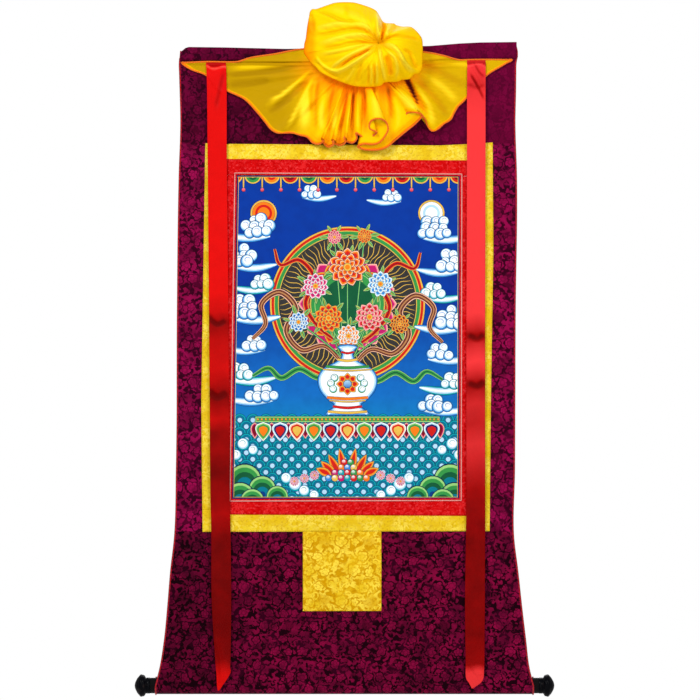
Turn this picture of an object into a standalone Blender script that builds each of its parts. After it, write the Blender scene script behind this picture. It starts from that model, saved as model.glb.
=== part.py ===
"""Thangka scroll painting: a painting framed in brocade, with a gathered silk veil and a roller.

The front faces -Y, the wall that carries the piece is the plane y = 0, and +Z is up. The origin is
the middle of the heading's top edge. Sizes and tables are in millimetres, and a point is made metres
where it becomes a vertex. A stand-off is a distance from the wall.
"""
import math
from collections import namedtuple

import bmesh
import bpy

MM = 0.001
COLLECTION = "Thangka"

# Cloth thicknesses and the gaps between pieces
BROCADE = 1.2
SILK = 1.0
GAP = 0.3
LAP = 9.0
LAYER = BROCADE + GAP

# Overall drop
TOP_ROW = 8.0
SIDE_SEAM = -198.0
FRAME_FOOT = -974.0
SEAM_STEP = 1.0
ROW_PITCH = 26.0

# Roller
ROLLER_HEIGHT = -1284.0
ROLLER_STAND = 19.5
ROD_RADIUS = 15.5
SLEEVE_RADIUS = ROD_RADIUS + GAP + BROCADE / 2
ROD_LEFT = -392.0
ROD_RIGHT = 386.0
STEM_RADIUS = 16.0
HEAD_RADIUS = 22.5
KNOB_LENGTH = 31.0

# Edge binding and the cord round the painting
BINDING_RADIUS = 1.5
FAR = 400.0  # a level line's reach to each side, beyond the cloth
TURN_STEP = 18.0  # degrees from row to row round the roller
TURNING_FOOT_RISE = 25.0  # the sewn turning's foot above the roller's middle
TURNING_TOP_RISE = 38.0
STEP_CLEARANCE = 0.02  # least share of the width from a seam's step to an even column
PIPING_FOOT = -912.0
PUFF_FOLD_SPREAD = 1.3
SKIRT_FOLD_SPREAD = 1.5
BINDING_RING = ROD_RADIUS + 2 * GAP + BINDING_RADIUS
PIPING_RADIUS = 1.0
PIPING_MARGIN = 4.0

# Heading
HEADING_THICKNESS = 10.0
HEADING_STAND = 6.0

# Hang: how far the ground cloth stands from the wall, and how much further at the right than the left
Hang = namedtuple("Hang", "height stand tilt")
HANG = (
    Hang(8, 6.0, 0.000),
    Hang(-34, 6.0, 0.000),
    Hang(-120, 7.5, 0.002),
    Hang(-260, 13.0, 0.004),
    Hang(-450, 23.0, -0.002),
    Hang(-650, 35.0, 0.003),
    Hang(-820, 46.0, -0.004),
    Hang(-960, 53.0, 0.002),
    Hang(-1080, 50.5, -0.003),
    Hang(-1190, 42.5, 0.001),
    Hang(ROLLER_HEIGHT, ROLLER_STAND + SLEEVE_RADIUS, 0.000),
)
RIPPLE_RISE = 1.1
RIPPLE_LENGTH = 142.0
RIPPLE_TOP = -500.0
RIPPLE_FOOT = -1100.0

# Outline of the whole hanging, over its bindings
Outline = namedtuple("Outline", "height left right")
OUTLINE = (
    Outline(8, -332, 340),
    Outline(-20, -333.5, 345),
    Outline(-34, -335, 340),
    Outline(-150, -332, 337),
    Outline(-260, -335, 340),
    Outline(-550, -338, 336.5),
    Outline(-850, -339, 336),
    Outline(-990, -343, 334),
    Outline(-1050, -350, 341),
    Outline(-1120, -356, 349),
    Outline(-1190, -363, 357),
    Outline(-1250, -373, 365),
    Outline(-1284, -382, 374),
)

# Top edge of the heading, from left to right
Edge = namedtuple("Edge", "across height")
HEADING_TOP = (
    Edge(-333, -17), Edge(-326, -8), Edge(-318, -4), Edge(-240, -5), Edge(-120, -8),
    Edge(40, -4), Edge(168, -2), Edge(228, 3), Edge(268, 5), Edge(345, 6),
)
HEADING_FOOT = (Edge(-340, -32.5), Edge(346, -27.5))

# Round of the folded heading: place down the band and share of its full thickness
Fold = namedtuple("Fold", "place share")
CLOTH_SHARE = BROCADE / HEADING_THICKNESS
HEADING_FOLD = (
    Fold(0.00, 0.40), Fold(0.05, 0.72), Fold(0.14, 0.95), Fold(0.28, 1.00),
    Fold(0.80, 1.00), Fold(0.92, 0.84), Fold(0.98, 0.55), Fold(1.00, CLOTH_SHARE),
)

# Frame lines: left and right heights of the level ones, and places down the upright ones
YELLOW_TOP = (Edge(-282, -197.5), Edge(-240, -198.8), Edge(188, -202), Edge(240, -199.6), Edge(294, -196))
RED_TOP = (Edge(-250, -229.2), Edge(262, -232.2))
ART_TOP = (Edge(-219, -261.4), Edge(228, -263.6))
ART_FOOT = (Edge(-228, -909.2), Edge(226, -908.0))
RED_FOOT = (Edge(-256, -939.8), Edge(256, -942.6))
YELLOW_FOOT = (Edge(-287, -974.6), Edge(287, -973.2))
Upright = namedtuple("Upright", "height across")
YELLOW_LEFT = (Upright(-196, -282), Upright(-310, -283.6), Upright(-712, -289), Upright(-976, -286))
RED_LEFT = (Upright(-228, -250), Upright(-712, -257), Upright(-944, -255))
ART_LEFT = (Upright(-260, -218.6), Upright(-912, -227.4))
ART_RIGHT = (Upright(-260, 228), Upright(-912, 225.8))
RED_RIGHT = (Upright(-228, 262), Upright(-712, 258), Upright(-944, 254.6))
YELLOW_RIGHT = (Upright(-196, 294), Upright(-420, 295), Upright(-712, 289.4), Upright(-976, 286.4))

# Square of yellow brocade under the frame
PATCH_LEFT = -86.0
PATCH_RIGHT = 70.6
PATCH_DROP = 159.0

# Ribbons: one row across the ribbon, left end then right end, and its distance from the ground cloth
Band = namedtuple("Band", "left left_height right right_height proud")
RIBBON_LEFT = (
    Band(-280.6, -33.0, -240.6, -33.0, 4.1),
    Band(-281.0, -44.0, -240.4, -43.0, 5.6),
    Band(-280.0, -47.0, -240.0, -46.0, 7.4),
    Band(-278.5, -100.0, -239.0, -100.0, 9.5),
    Band(-277.0, -240.0, -238.6, -240.0, 9.5),
    Band(-274.0, -520.0, -235.0, -520.0, 8.5),
    Band(-270.6, -872.0, -231.8, -872.0, 9.5),
    Band(-268.6, -972.0, -230.0, -972.0, 8.5),
    Band(-267.8, -1112.0, -228.6, -1112.0, 9.5),
    Band(-261.0, -1232.0, -230.4, -1226.0, 9.0),
    Band(-258.6, -1260.0, -231.2, -1244.0, 11.0),
    Band(-257.6, -1282.0, -231.2, -1258.0, 12.5),
    Band(-255.6, -1292.8, -252.6, -1291.0, 11.5),
)
RIBBON_RIGHT = (
    Band(242.2, -29.4, 279.4, -28.8, 4.1),
    Band(242.6, -38.0, 279.8, -38.0, 5.8),
    Band(243.0, -41.0, 280.0, -41.0, 7.6),
    Band(242.4, -100.0, 279.6, -100.0, 9.5),
    Band(242.0, -304.0, 279.2, -304.0, 9.5),
    Band(240.4, -600.0, 278.0, -600.0, 8.5),
    Band(240.0, -872.0, 277.6, -872.0, 9.5),
    Band(239.0, -972.0, 277.4, -972.0, 8.5),
    Band(237.2, -1112.0, 277.0, -1112.0, 9.5),
    Band(238.6, -1230.0, 276.4, -1222.0, 9.0),
    Band(239.2, -1264.8, 275.6, -1250.6, 10.5),
    Band(245.0, -1276.0, 272.4, -1272.0, 11.5),
    Band(251.4, -1287.8, 254.4, -1287.0, 11.0),
)

# Veil: pinch in the middle of the puff, the puff's rim, the neck under it, and the skirt's edge
VEIL_COLUMNS = 84
PINCH_ACROSS = 65.4
PINCH_HEIGHT = -1.6
PINCH_STAND = 70.0
RIM_STAND = 52.0
NECK_ACROSS = 36.0
NECK_HEIGHT = -44.0
NECK_STAND = 34.0
NECK_WIDTH = 46.0
NECK_RISE = 20.0
PUFF_CROWN = 34.0
SKIRT_FALL = 2.5
PUFF_ROWS = (0.08, 0.22, 0.40, 0.58, 0.76, 0.90, 1.0)
UNDER_ROWS = (0.16, 0.55, 1.0)
SKIRT_ROWS = (0.14, 0.30, 0.48, 0.66, 0.84, 1.0)

Rim = namedtuple("Rim", "across height")
RIM_UPPER = (
    Rim(-84, -20), Rim(-80, 10), Rim(-73, 58), Rim(-63, 68), Rim(-36, 74), Rim(-18, 80.6),
    Rim(14, 81), Rim(40, 73), Rim(59, 66), Rim(67, 56), Rim(74, 44), Rim(98, 38), Rim(130, 32),
    Rim(144, 20), Rim(152, 6), Rim(152, -24),
)
RIM_LOWER = (
    Rim(152, -24), Rim(153, -47), Rim(146, -59), Rim(127, -70), Rim(101, -77), Rim(68, -86),
    Rim(29, -87), Rim(1, -82), Rim(-40, -63), Rim(-60, -49), Rim(-72, -36), Rim(-84, -20),
)
Hem = namedtuple("Hem", "across height stand")
HEM_UPPER = (
    Hem(-330, -36, 7.6), Hem(-280, -34, 7.6), Hem(-242, -34.5, 7.8), Hem(-228, -34.5, 11),
    Hem(-214, -33.5, 14.5), Hem(-190, -25, 15), Hem(-144, -17, 15.5), Hem(-86, -9, 18),
    Hem(-12, -7, 19), Hem(68, -8, 19), Hem(150, -14, 18), Hem(193, -21.5, 15.5),
    Hem(212, -27, 14.5), Hem(228, -30.5, 10), Hem(242, -30, 7.8), Hem(282, -29.5, 7.6), Hem(334, -30, 7.6),
)
HEM_LOWER = (
    Hem(334, -30, 7.6), Hem(311, -43, 8.6), Hem(279, -64, 9.6), Hem(239, -110, 11.5),
    Hem(218, -134, 14), Hem(206, -152, 17), Hem(178, -174, 19), Hem(158, -177, 20),
    Hem(124, -185, 21), Hem(94, -203, 24), Hem(48, -210, 24), Hem(16, -204, 23),
    Hem(-16, -202, 22), Hem(-54, -192, 21), Hem(-91, -179, 20), Hem(-133, -179, 18),
    Hem(-150, -173, 17), Hem(-184, -129, 14), Hem(-205, -108, 13), Hem(-241, -91, 11),
    Hem(-282, -60, 9.4), Hem(-312, -49, 8.4), Hem(-330, -44, 7.8), Hem(-330, -36, 7.6),
)

# Folds of the puff: direction from the pinch in degrees, breadth in degrees, rise, and reach to the rim
PuffFold = namedtuple("PuffFold", "turn breadth rise reach")
PUFF_FOLDS = (
    PuffFold(14, 26, 7, 0.6), PuffFold(48, 24, -9, 0.9), PuffFold(66, 20, 6, 0.7),
    PuffFold(86, 22, -13, 1.0), PuffFold(112, 24, 8, 0.7), PuffFold(140, 14, -6, 0.8),
    PuffFold(154, 14, 8, 0.8), PuffFold(166, 10, -6, 0.8), PuffFold(177, 14, 8, 0.8),
    PuffFold(190, 10, -7, 0.8), PuffFold(205, 16, 9, 0.6), PuffFold(222, 12, -7, 0.7),
    PuffFold(238, 16, 7, 0.6), PuffFold(258, 12, -6, 0.8), PuffFold(276, 14, 6, 0.6),
    PuffFold(296, 16, -7, 0.8), PuffFold(318, 18, 8, 0.6), PuffFold(342, 18, -6, 0.9),
)
# Folds of the skirt: place along the lower edge from its right end, breadth, and rise
SkirtFold = namedtuple("SkirtFold", "along breadth rise")
SKIRT_FOLDS = (
    SkirtFold(0.215, 0.060, 5), SkirtFold(0.265, 0.045, -4), SkirtFold(0.320, 0.050, 9),
    SkirtFold(0.362, 0.034, -6), SkirtFold(0.400, 0.046, 12), SkirtFold(0.440, 0.034, -6),
    SkirtFold(0.475, 0.046, 12), SkirtFold(0.512, 0.032, -7), SkirtFold(0.545, 0.040, 9),
    SkirtFold(0.580, 0.032, -6), SkirtFold(0.612, 0.040, 9), SkirtFold(0.655, 0.040, -5),
    SkirtFold(0.700, 0.050, 8), SkirtFold(0.755, 0.050, -4), SkirtFold(0.805, 0.050, 4),
)

# Finishes: colour in linear light, roughness, metallic
Finish = namedtuple("Finish", "red green blue roughness metallic")
FINISHES = {
    "ground_brocade": Finish(0.130, 0.003, 0.045, 0.75, 0.0),
    "binding_cloth": Finish(0.480, 0.010, 0.020, 0.70, 0.0),
    "yellow_brocade": Finish(0.800, 0.520, 0.060, 0.60, 0.0),
    "red_brocade": Finish(0.620, 0.008, 0.012, 0.60, 0.0),
    "painted_cotton": Finish(0.050, 0.180, 0.420, 0.80, 0.0),
    "piping_cord": Finish(0.850, 0.480, 0.430, 0.70, 0.0),
    "veil_silk": Finish(0.950, 0.560, 0.020, 0.45, 0.0),
    "ribbon_satin": Finish(0.750, 0.006, 0.010, 0.35, 0.0),
    "rod_wood": Finish(0.060, 0.035, 0.025, 0.60, 0.0),
    "knob_lacquer": Finish(0.008, 0.008, 0.010, 0.30, 0.0),
}


def mix(low, high, share):
    """Return the value a share of the way from low to high."""
    return low + (high - low) * share


def along(rows, column, key, at):
    """Read a column of a table on straight lines through its rows, which run up or down in key."""
    ordered = sorted(rows, key=lambda row: getattr(row, key))
    if at <= getattr(ordered[0], key):
        return getattr(ordered[0], column)
    for low, high in zip(ordered, ordered[1:]):
        start, end = getattr(low, key), getattr(high, key)
        if at <= end:
            return mix(getattr(low, column), getattr(high, column), (at - start) / (end - start))
    return getattr(ordered[-1], column)


def hung(rows, column, height):
    """Read a column of a table of heights on a smooth curve through its rows."""
    ordered = sorted(rows, key=lambda row: row.height)
    if height <= ordered[0].height:
        return getattr(ordered[0], column)
    if height >= ordered[-1].height:
        return getattr(ordered[-1], column)
    last = len(ordered) - 1
    index = max(i for i, row in enumerate(ordered) if row.height <= height)
    index = min(index, last - 1)
    spans = [ordered[max(0, min(last, index + step))] for step in (-1, 0, 1, 2)]
    before, low, high, after = spans
    width = high.height - low.height
    share = (height - low.height) / width
    start, end = getattr(low, column), getattr(high, column)
    slope_in = (end - getattr(before, column)) / (high.height - before.height) * width
    slope_out = (getattr(after, column) - start) / (after.height - low.height) * width
    square, cube = share ** 2, share ** 3
    return (start * (2 * cube - 3 * square + 1) + slope_in * (cube - 2 * square + share)
            + end * (3 * square - 2 * cube) + slope_out * (cube - square))


def ripple(height):
    """Return the shallow cross ripples that rolling has left in the lower half of the cloth."""
    if not RIPPLE_FOOT < height < RIPPLE_TOP:
        return 0.0
    share = (height - RIPPLE_FOOT) / (RIPPLE_TOP - RIPPLE_FOOT)
    return RIPPLE_RISE * math.sin(math.pi * share) * math.sin(2 * math.pi * height / RIPPLE_LENGTH)


def row_heights():
    """Return the heights of the cross rows that every layer of cloth shares, from the top down."""
    count = math.ceil((TOP_ROW - ROLLER_HEIGHT) / ROW_PITCH)
    return [mix(TOP_ROW, ROLLER_HEIGHT, step / count) for step in range(count + 1)]


ROWS = row_heights()


def ground_at_row(across, height):
    """Return the ground cloth's stand-off on a shared cross row."""
    return hung(HANG, "stand", height) + ripple(height) + hung(HANG, "tilt", height) * across


def between_rows(value, height):
    """Return a function of the height, made straight between the cross rows so that layers stay parallel."""
    pitch = ROWS[0] - ROWS[1]
    place = min(max((ROWS[0] - height) / pitch, 0.0), len(ROWS) - 1.0)
    index = min(int(place), len(ROWS) - 2)
    return mix(value(ROWS[index]), value(ROWS[index + 1]), place - index)


def ground(across, height):
    """Return the ground cloth's stand-off."""
    return between_rows(lambda row: ground_at_row(across, row), height)


def level(rows):
    """Return the height of a nearly level line as a function of the place across."""
    return lambda across: along(rows, "height", "across", across)


def upright(rows, shift=0.0):
    """Return the place across of a nearly upright line as a function of the height."""
    return lambda height: along(rows, "across", "height", height) + shift


def fixed(place):
    """Return a line that keeps to one place."""
    return lambda _: place


def moved(line, step):
    """Return a line moved by a step."""
    return lambda place: line(place) + step


def outline(side, inset):
    """Return one side of the whole hanging, drawn in by an inset, as a function of the height."""
    step = inset if side == "left" else -inset
    return lambda height: between_rows(lambda row: along(OUTLINE, side, "height", row), height) + step


def make_finish(name):
    """Return a material of the finish's colour, roughness and metallic value."""
    finish = FINISHES[name]
    material = bpy.data.materials.new(name)
    material.use_nodes = True
    shader = material.node_tree.nodes["Principled BSDF"]
    shader.inputs["Base Color"].default_value = (finish.red, finish.green, finish.blue, 1.0)
    shader.inputs["Roughness"].default_value = finish.roughness
    shader.inputs["Metallic"].default_value = finish.metallic
    material.diffuse_color = (finish.red, finish.green, finish.blue, 1.0)
    return material


def finish_named(name):
    """Return the material of a name, made on its first use."""
    return bpy.data.materials.get(name) or make_finish(name)


def link(name, data, finish):
    """Put a mesh or curve in the collection as a named object with its finish."""
    piece = bpy.data.objects.new(name, data)
    data.materials.append(finish_named(finish))
    bpy.data.collections[COLLECTION].objects.link(piece)
    return piece


def cloth_from_rows(name, finish, rows, thickness, shares=None):
    """Make a cloth from rows of (across, stand-off, height) points, with its thickness about them."""
    columns = len(rows[0])
    mesh = bmesh.new()
    bmesh.ops.create_grid(mesh, x_segments=columns - 1, y_segments=len(rows) - 1, size=1.0)
    mesh.verts.ensure_lookup_table()
    for index, vertex in enumerate(mesh.verts):
        row, column = divmod(index, columns)
        across, stand, height = rows[-1 - row][column]
        vertex.co = (across * MM, -stand * MM, height * MM)
    data = bpy.data.meshes.new(name)
    mesh.to_mesh(data)
    mesh.free()
    data.shade_smooth()
    piece = link(name, data, finish)
    if shares:
        group = piece.vertex_groups.new(name="thickness")
        for index in range(len(data.vertices)):
            group.add([index], shares[-1 - index // columns], "REPLACE")
    solid = piece.modifiers.new("cloth thickness", "SOLIDIFY")
    solid.thickness = thickness * MM
    solid.offset = 0.0
    solid.use_even_offset = shares is None
    if shares:
        solid.vertex_group = "thickness"
    return piece


def even_shares(columns):
    """Return the shares of the width at even columns."""
    return [column / columns for column in range(columns + 1)]


def stepped_seam(edge_height, middle_height):
    """Return a cross seam that steps, behind the frame, from its edge height to its middle height."""
    left = upright(YELLOW_LEFT, LAP)(edge_height) + GAP
    right = upright(YELLOW_RIGHT, -LAP)(edge_height) - GAP
    return (
        Edge(-FAR, edge_height), Edge(left, edge_height), Edge(left + SEAM_STEP, middle_height),
        Edge(right - SEAM_STEP, middle_height), Edge(right, edge_height), Edge(FAR, edge_height),
    )


def seam_shares(seam, left, right, columns):
    """Return even shares of the width with those of the seam's steps among them."""
    steps = {(spot.across - left) / (right - left) for spot in seam[1:-1]}
    even = {share for share in even_shares(columns) if min(abs(share - step) for step in steps) > STEP_CLEARANCE}
    return sorted(steps | even)


def lay_rows(left, right, top, foot, shares, layer):
    """Return rows of points of a cloth that lies on the ground cloth, a layer's height in front of it."""

    def edge_row(line):
        spots = []
        for share in shares:
            across = 0.0
            for _ in range(3):
                height = line(across)
                across = mix(left(height), right(height), share)
            spots.append((across, line(across)))
        return spots

    upper, lower = edge_row(top), edge_row(foot)
    highest = min(height for _, height in upper) - LAP
    lowest = max(height for _, height in lower) + LAP
    inner = [height for height in ROWS if lowest < height < highest]
    spots = [upper]
    spots += [[(mix(left(height), right(height), share), height) for share in shares] for height in inner]
    spots.append(lower)
    return [[(across, ground(across, height) + layer, height) for across, height in row] for row in spots]


def lay_cloth(name, finish, left, right, top, foot, columns, layer):
    """Make a brocade piece that lies on the ground cloth."""
    return cloth_from_rows(name, finish, lay_rows(left, right, top, foot, even_shares(columns), layer), BROCADE)


def top_panel():
    """Make the top panel, whose upper end is folded over on itself into the thick heading."""
    inset = 2 * (BINDING_RADIUS + GAP)
    left, right = outline("left", inset), outline("right", inset)
    seam = stepped_seam(SIDE_SEAM + GAP / 2, SIDE_SEAM - LAP)
    shares = [0.0, 0.011, 0.025] + seam_shares(seam, left(SIDE_SEAM), right(SIDE_SEAM), 10)[1:]
    top, foot = level(HEADING_TOP), level(HEADING_FOOT)
    rows = []
    for fold in HEADING_FOLD:
        row = []
        for share in shares:
            across = mix(left(0.0), right(0.0), share)
            height = mix(top(across), foot(across), fold.place)
            row.append((mix(left(height), right(height), share), HEADING_STAND, height))
        rows.append(row)
    thickness = [fold.share for fold in HEADING_FOLD]
    below = [height for height in ROWS if SIDE_SEAM + LAP < height < HEADING_FOOT[0].height - LAP]
    for line in [fixed(height) for height in below] + [level(seam)]:
        spots = [mix(left(SIDE_SEAM), right(SIDE_SEAM), share) for share in shares]
        spots[0], spots[-1] = left(line(spots[0])), right(line(spots[-1]))
        rows.append([(across, ground(across, line(across)), line(across)) for across in spots])
        thickness.append(CLOTH_SHARE)
    return cloth_from_rows("top_panel", "ground_brocade", rows, HEADING_THICKNESS, thickness)


def side_panels():
    """Make the two side panels, which run from the top panel to the foot of the frame."""
    inset = 2 * (BINDING_RADIUS + GAP)
    top = level((Edge(-FAR, SIDE_SEAM - GAP / 2), Edge(FAR, SIDE_SEAM - GAP / 2)))
    foot = level((Edge(-FAR, FRAME_FOOT + GAP / 2), Edge(FAR, FRAME_FOOT + GAP / 2)))
    inner_left, inner_right = upright(YELLOW_LEFT, LAP), upright(YELLOW_RIGHT, -LAP)
    lay_cloth("left_panel", "ground_brocade", outline("left", inset), inner_left, top, foot, 1, 0.0)
    lay_cloth("right_panel", "ground_brocade", inner_right, outline("right", inset), top, foot, 1, 0.0)


def sleeve_section():
    """Return (stand-off, height) points round the roller, from the front round to the sewn turning."""
    spots = []
    for step in range(1, 16):
        turn = math.radians(TURN_STEP * step)
        stand = ROLLER_STAND + SLEEVE_RADIUS * math.cos(turn)
        spots.append((stand, ROLLER_HEIGHT - SLEEVE_RADIUS * math.sin(turn)))
    turning_foot, turning_top = ROLLER_HEIGHT + TURNING_FOOT_RISE, ROLLER_HEIGHT + TURNING_TOP_RISE
    spots.append((ground(0.0, turning_foot) - LAYER - GAP, turning_foot))
    spots.append((ground(0.0, turning_top) - LAYER - GAP, turning_top))
    return spots


def bottom_panel():
    """Make the bottom panel, which runs down the front, round the roller and up its own back."""
    inset = 2 * (BINDING_RADIUS + GAP)
    left, right = outline("left", inset), outline("right", inset)
    seam = stepped_seam(FRAME_FOOT - GAP / 2, FRAME_FOOT + LAP)
    foot = level((Edge(-FAR, ROLLER_HEIGHT), Edge(FAR, ROLLER_HEIGHT)))
    shares = seam_shares(seam, left(FRAME_FOOT), right(FRAME_FOOT), 6)
    rows = lay_rows(left, right, level(seam), foot, shares, 0.0)
    for stand, height in sleeve_section():
        reach = max(height, ROLLER_HEIGHT)
        spots = [mix(left(reach), right(reach), share) for share in shares]
        rows.append([(across, stand, height) for across in spots])
    cloth_from_rows("bottom_panel", "ground_brocade", rows, BROCADE)


def cord(name, finish, points, radius, closed=False):
    """Make a round cord through (across, stand-off, height) points."""
    data = bpy.data.curves.new(name, "CURVE")
    data.dimensions = "3D"
    data.bevel_depth = radius * MM
    data.bevel_resolution = 1
    data.use_fill_caps = not closed
    line = data.splines.new("POLY")
    line.use_cyclic_u = closed
    line.points.add(len(points) - 1)
    for point, (across, stand, height) in zip(line.points, points):
        point.co = (across * MM, -stand * MM, height * MM, 1.0)
    return link(name, data, finish)


def edge_binding(side):
    """Make the red binding down one side of the hanging and round the sleeve's end."""
    edge = outline(side, BINDING_RADIUS)
    top = level(HEADING_TOP)(edge(0.0))
    heights = [top] + [height for height in ROWS[:-1] if height < top - BINDING_RADIUS]
    points = [(edge(height), max(ground(edge(height), height), HEADING_STAND), height) for height in heights]
    for step in range(15):
        turn = math.radians(TURN_STEP * step)
        stand = ROLLER_STAND + BINDING_RING * math.cos(turn)
        points.append((edge(ROLLER_HEIGHT), stand, ROLLER_HEIGHT - BINDING_RING * math.sin(turn)))
    cord("binding_" + side, "binding_cloth", points, BINDING_RADIUS)


def frame_strips(word, finish, outer, inner, layer, lap_out, lap_in):
    """Make the four strips of one frame: level ones across the full width, upright ones between."""
    out_left, out_right, out_top, out_foot = outer
    in_left, in_right, in_top, in_foot = inner
    left, right = moved(out_left, -lap_out), moved(out_right, lap_out)
    top, foot = moved(out_top, lap_out), moved(out_foot, -lap_out)
    left_in, right_in = moved(in_left, lap_in), moved(in_right, -lap_in)
    top_in, foot_in = moved(in_top, -lap_in), moved(in_foot, lap_in)
    below_top, above_foot = moved(top_in, -GAP), moved(foot_in, GAP)
    lay_cloth(word + "_top", finish, left, right, top, top_in, 8, layer)
    lay_cloth(word + "_foot", finish, left, right, foot_in, foot, 8, layer)
    lay_cloth(word + "_left", finish, left, left_in, below_top, above_foot, 1, layer)
    lay_cloth(word + "_right", finish, right_in, right, below_top, above_foot, 1, layer)


def frames():
    """Make the yellow frame, the red frame over its inner edge, and the painting between them."""
    yellow = (upright(YELLOW_LEFT), upright(YELLOW_RIGHT), level(YELLOW_TOP), level(YELLOW_FOOT))
    red = (upright(RED_LEFT), upright(RED_RIGHT), level(RED_TOP), level(RED_FOOT))
    art = (upright(ART_LEFT), upright(ART_RIGHT), level(ART_TOP), level(ART_FOOT))
    frame_strips("yellow_frame", "yellow_brocade", yellow, red, LAYER, 0.0, LAP)
    frame_strips("red_frame", "red_brocade", red, art, 2 * LAYER, 0.0, 0.0)
    lap = LAP - 1.0
    left, right = upright(ART_LEFT, -lap), upright(ART_RIGHT, lap)
    top, foot = moved(level(ART_TOP), lap), moved(level(ART_FOOT), -lap)
    lay_cloth("painting", "painted_cotton", left, right, top, foot, 6, LAYER)


def painting_piping():
    """Make the pale cord that is sewn round the painting, a little outside its edge."""
    left, right = upright(ART_LEFT, -PIPING_MARGIN), upright(ART_RIGHT, PIPING_MARGIN)
    top, foot = level(ART_TOP), level(ART_FOOT)
    inner = [height for height in ROWS if ART_FOOT[0].height < height < ART_TOP[1].height]
    high_left, high_right = top(left(0.0)) + PIPING_MARGIN, top(right(0.0)) + PIPING_MARGIN
    low_left, low_right = (foot(side(PIPING_FOOT)) - PIPING_MARGIN for side in (left, right))
    line = [(left(height), height) for height in [high_left] + inner + [low_left]]
    line += [(right(height), height) for height in [low_right] + inner[::-1] + [high_right]]
    proud = 2 * LAYER + BROCADE / 2 + GAP + PIPING_RADIUS
    points = [(across, ground(across, height) + proud, height) for across, height in line]
    cord("painting_piping", "piping_cord", points, PIPING_RADIUS, closed=True)


def door_patch():
    """Make the square of yellow brocade that is sewn on under the frame."""
    top, foot = moved(level(YELLOW_FOOT), -GAP), moved(level(YELLOW_FOOT), -PATCH_DROP)
    lay_cloth("door_patch", "yellow_brocade", fixed(PATCH_LEFT), fixed(PATCH_RIGHT), top, foot, 3, LAYER)


def ribbon(name, bands):
    """Make one hanging ribbon from its rows, with a row on each shared cross row between them."""
    columns = 2
    rows = []
    for low, high in zip(bands, bands[1:]):
        steps = max(1, round((low.left_height - high.left_height) / ROW_PITCH))
        for step in range(steps):
            rows.append(Band(*(mix(start, end, step / steps) for start, end in zip(low, high))))
    rows.append(bands[-1])
    spots = []
    for band in rows:
        row = []
        for column in range(columns + 1):
            share = column / columns
            across = mix(band.left, band.right, share)
            height = mix(band.left_height, band.right_height, share)
            row.append((across, ground(across, height) + band.proud, height))
        spots.append(row)
    cloth_from_rows(name, "ribbon_satin", spots, SILK)


def spread(rows, count):
    """Return points at even steps of length along a table's rows, the last one left out."""
    spans = [math.dist(tuple(low)[:2], tuple(high)[:2]) for low, high in zip(rows, rows[1:])]
    total = sum(spans)
    points = []
    for step in range(count):
        length = total * step / count
        index = 0
        while length > spans[index]:
            length -= spans[index]
            index += 1
        pairs = zip(rows[index], rows[index + 1])
        points.append(tuple(mix(start, end, length / spans[index]) for start, end in pairs))
    return points


def crest(distance, breadth):
    """Return the height of a soft ridge, 1 on its line and 0 beyond half its breadth."""
    if abs(distance) >= breadth / 2:
        return 0.0
    return math.cos(math.pi * distance / breadth) ** 2


def puff_fold(turn, reach):
    """Return how far the puff's folds lift its surface, by direction in degrees and share of the rim."""
    lift = 0.0
    for fold in PUFF_FOLDS:
        away = (turn - fold.turn + 180.0) % 360.0 - 180.0
        fade = math.sin(math.pi * min(1.0, reach / (2 * fold.reach))) if reach < 2 * fold.reach else 0.0
        lift += fold.rise * crest(away, fold.breadth * PUFF_FOLD_SPREAD) * fade
    return lift


def skirt_fold(place, reach):
    """Return how far the skirt's folds lift it, by place along the lower edge and share of the drop."""
    ramp = math.sin(math.pi / 2 * reach)
    return ramp * sum(fold.rise * crest(place - fold.along, fold.breadth * SKIRT_FOLD_SPREAD) for fold in SKIRT_FOLDS)


def veil_rows():
    """Return the veil's rings of points, from the pinch over the puff, under it and out to the hem."""
    half = VEIL_COLUMNS // 2
    rims = spread(RIM_UPPER, half) + spread(RIM_LOWER, half)
    hems = spread(HEM_UPPER, half) + spread(HEM_LOWER, half)
    rings = []
    for reach in PUFF_ROWS:
        ring = []
        for across, height in rims:
            turn = math.degrees(math.atan2(height - PINCH_HEIGHT, across - PINCH_ACROSS))
            crown = PUFF_CROWN * math.sin(math.pi * reach ** 0.8) ** 1.2
            stand = mix(PINCH_STAND, RIM_STAND, reach ** 2.2) + crown + puff_fold(turn, reach)
            ring.append((mix(PINCH_ACROSS, across, reach), stand, mix(PINCH_HEIGHT, height, reach)))
        rings.append(ring)
    necks = []
    for column in range(VEIL_COLUMNS):
        turn = math.pi - 2 * math.pi * column / VEIL_COLUMNS
        necks.append((NECK_ACROSS + NECK_WIDTH * math.cos(turn), NECK_HEIGHT + NECK_RISE * math.sin(turn)))
    for reach in UNDER_ROWS:
        ring = []
        for rim, neck, crest_point in zip(rims, necks, rings[len(PUFF_ROWS) - 1]):
            curl = 1.0 - math.sqrt(max(0.0, 1.0 - reach))
            stand = mix(crest_point[1], NECK_STAND, reach)
            ring.append((mix(rim[0], neck[0], curl), stand, mix(rim[1], neck[1], curl)))
        rings.append(ring)
    for reach in SKIRT_ROWS:
        ring = []
        for column, (neck, hem) in enumerate(zip(necks, hems)):
            place = (column - half) / half
            lift = skirt_fold(place, reach) if place > 0.0 else 0.0
            stand = mix(hem[2], NECK_STAND, (1.0 - reach) ** SKIRT_FALL) + lift
            ring.append((mix(neck[0], hem[0], reach), stand, mix(neck[1], hem[1], reach)))
        rings.append(ring)
    return rings


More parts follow.
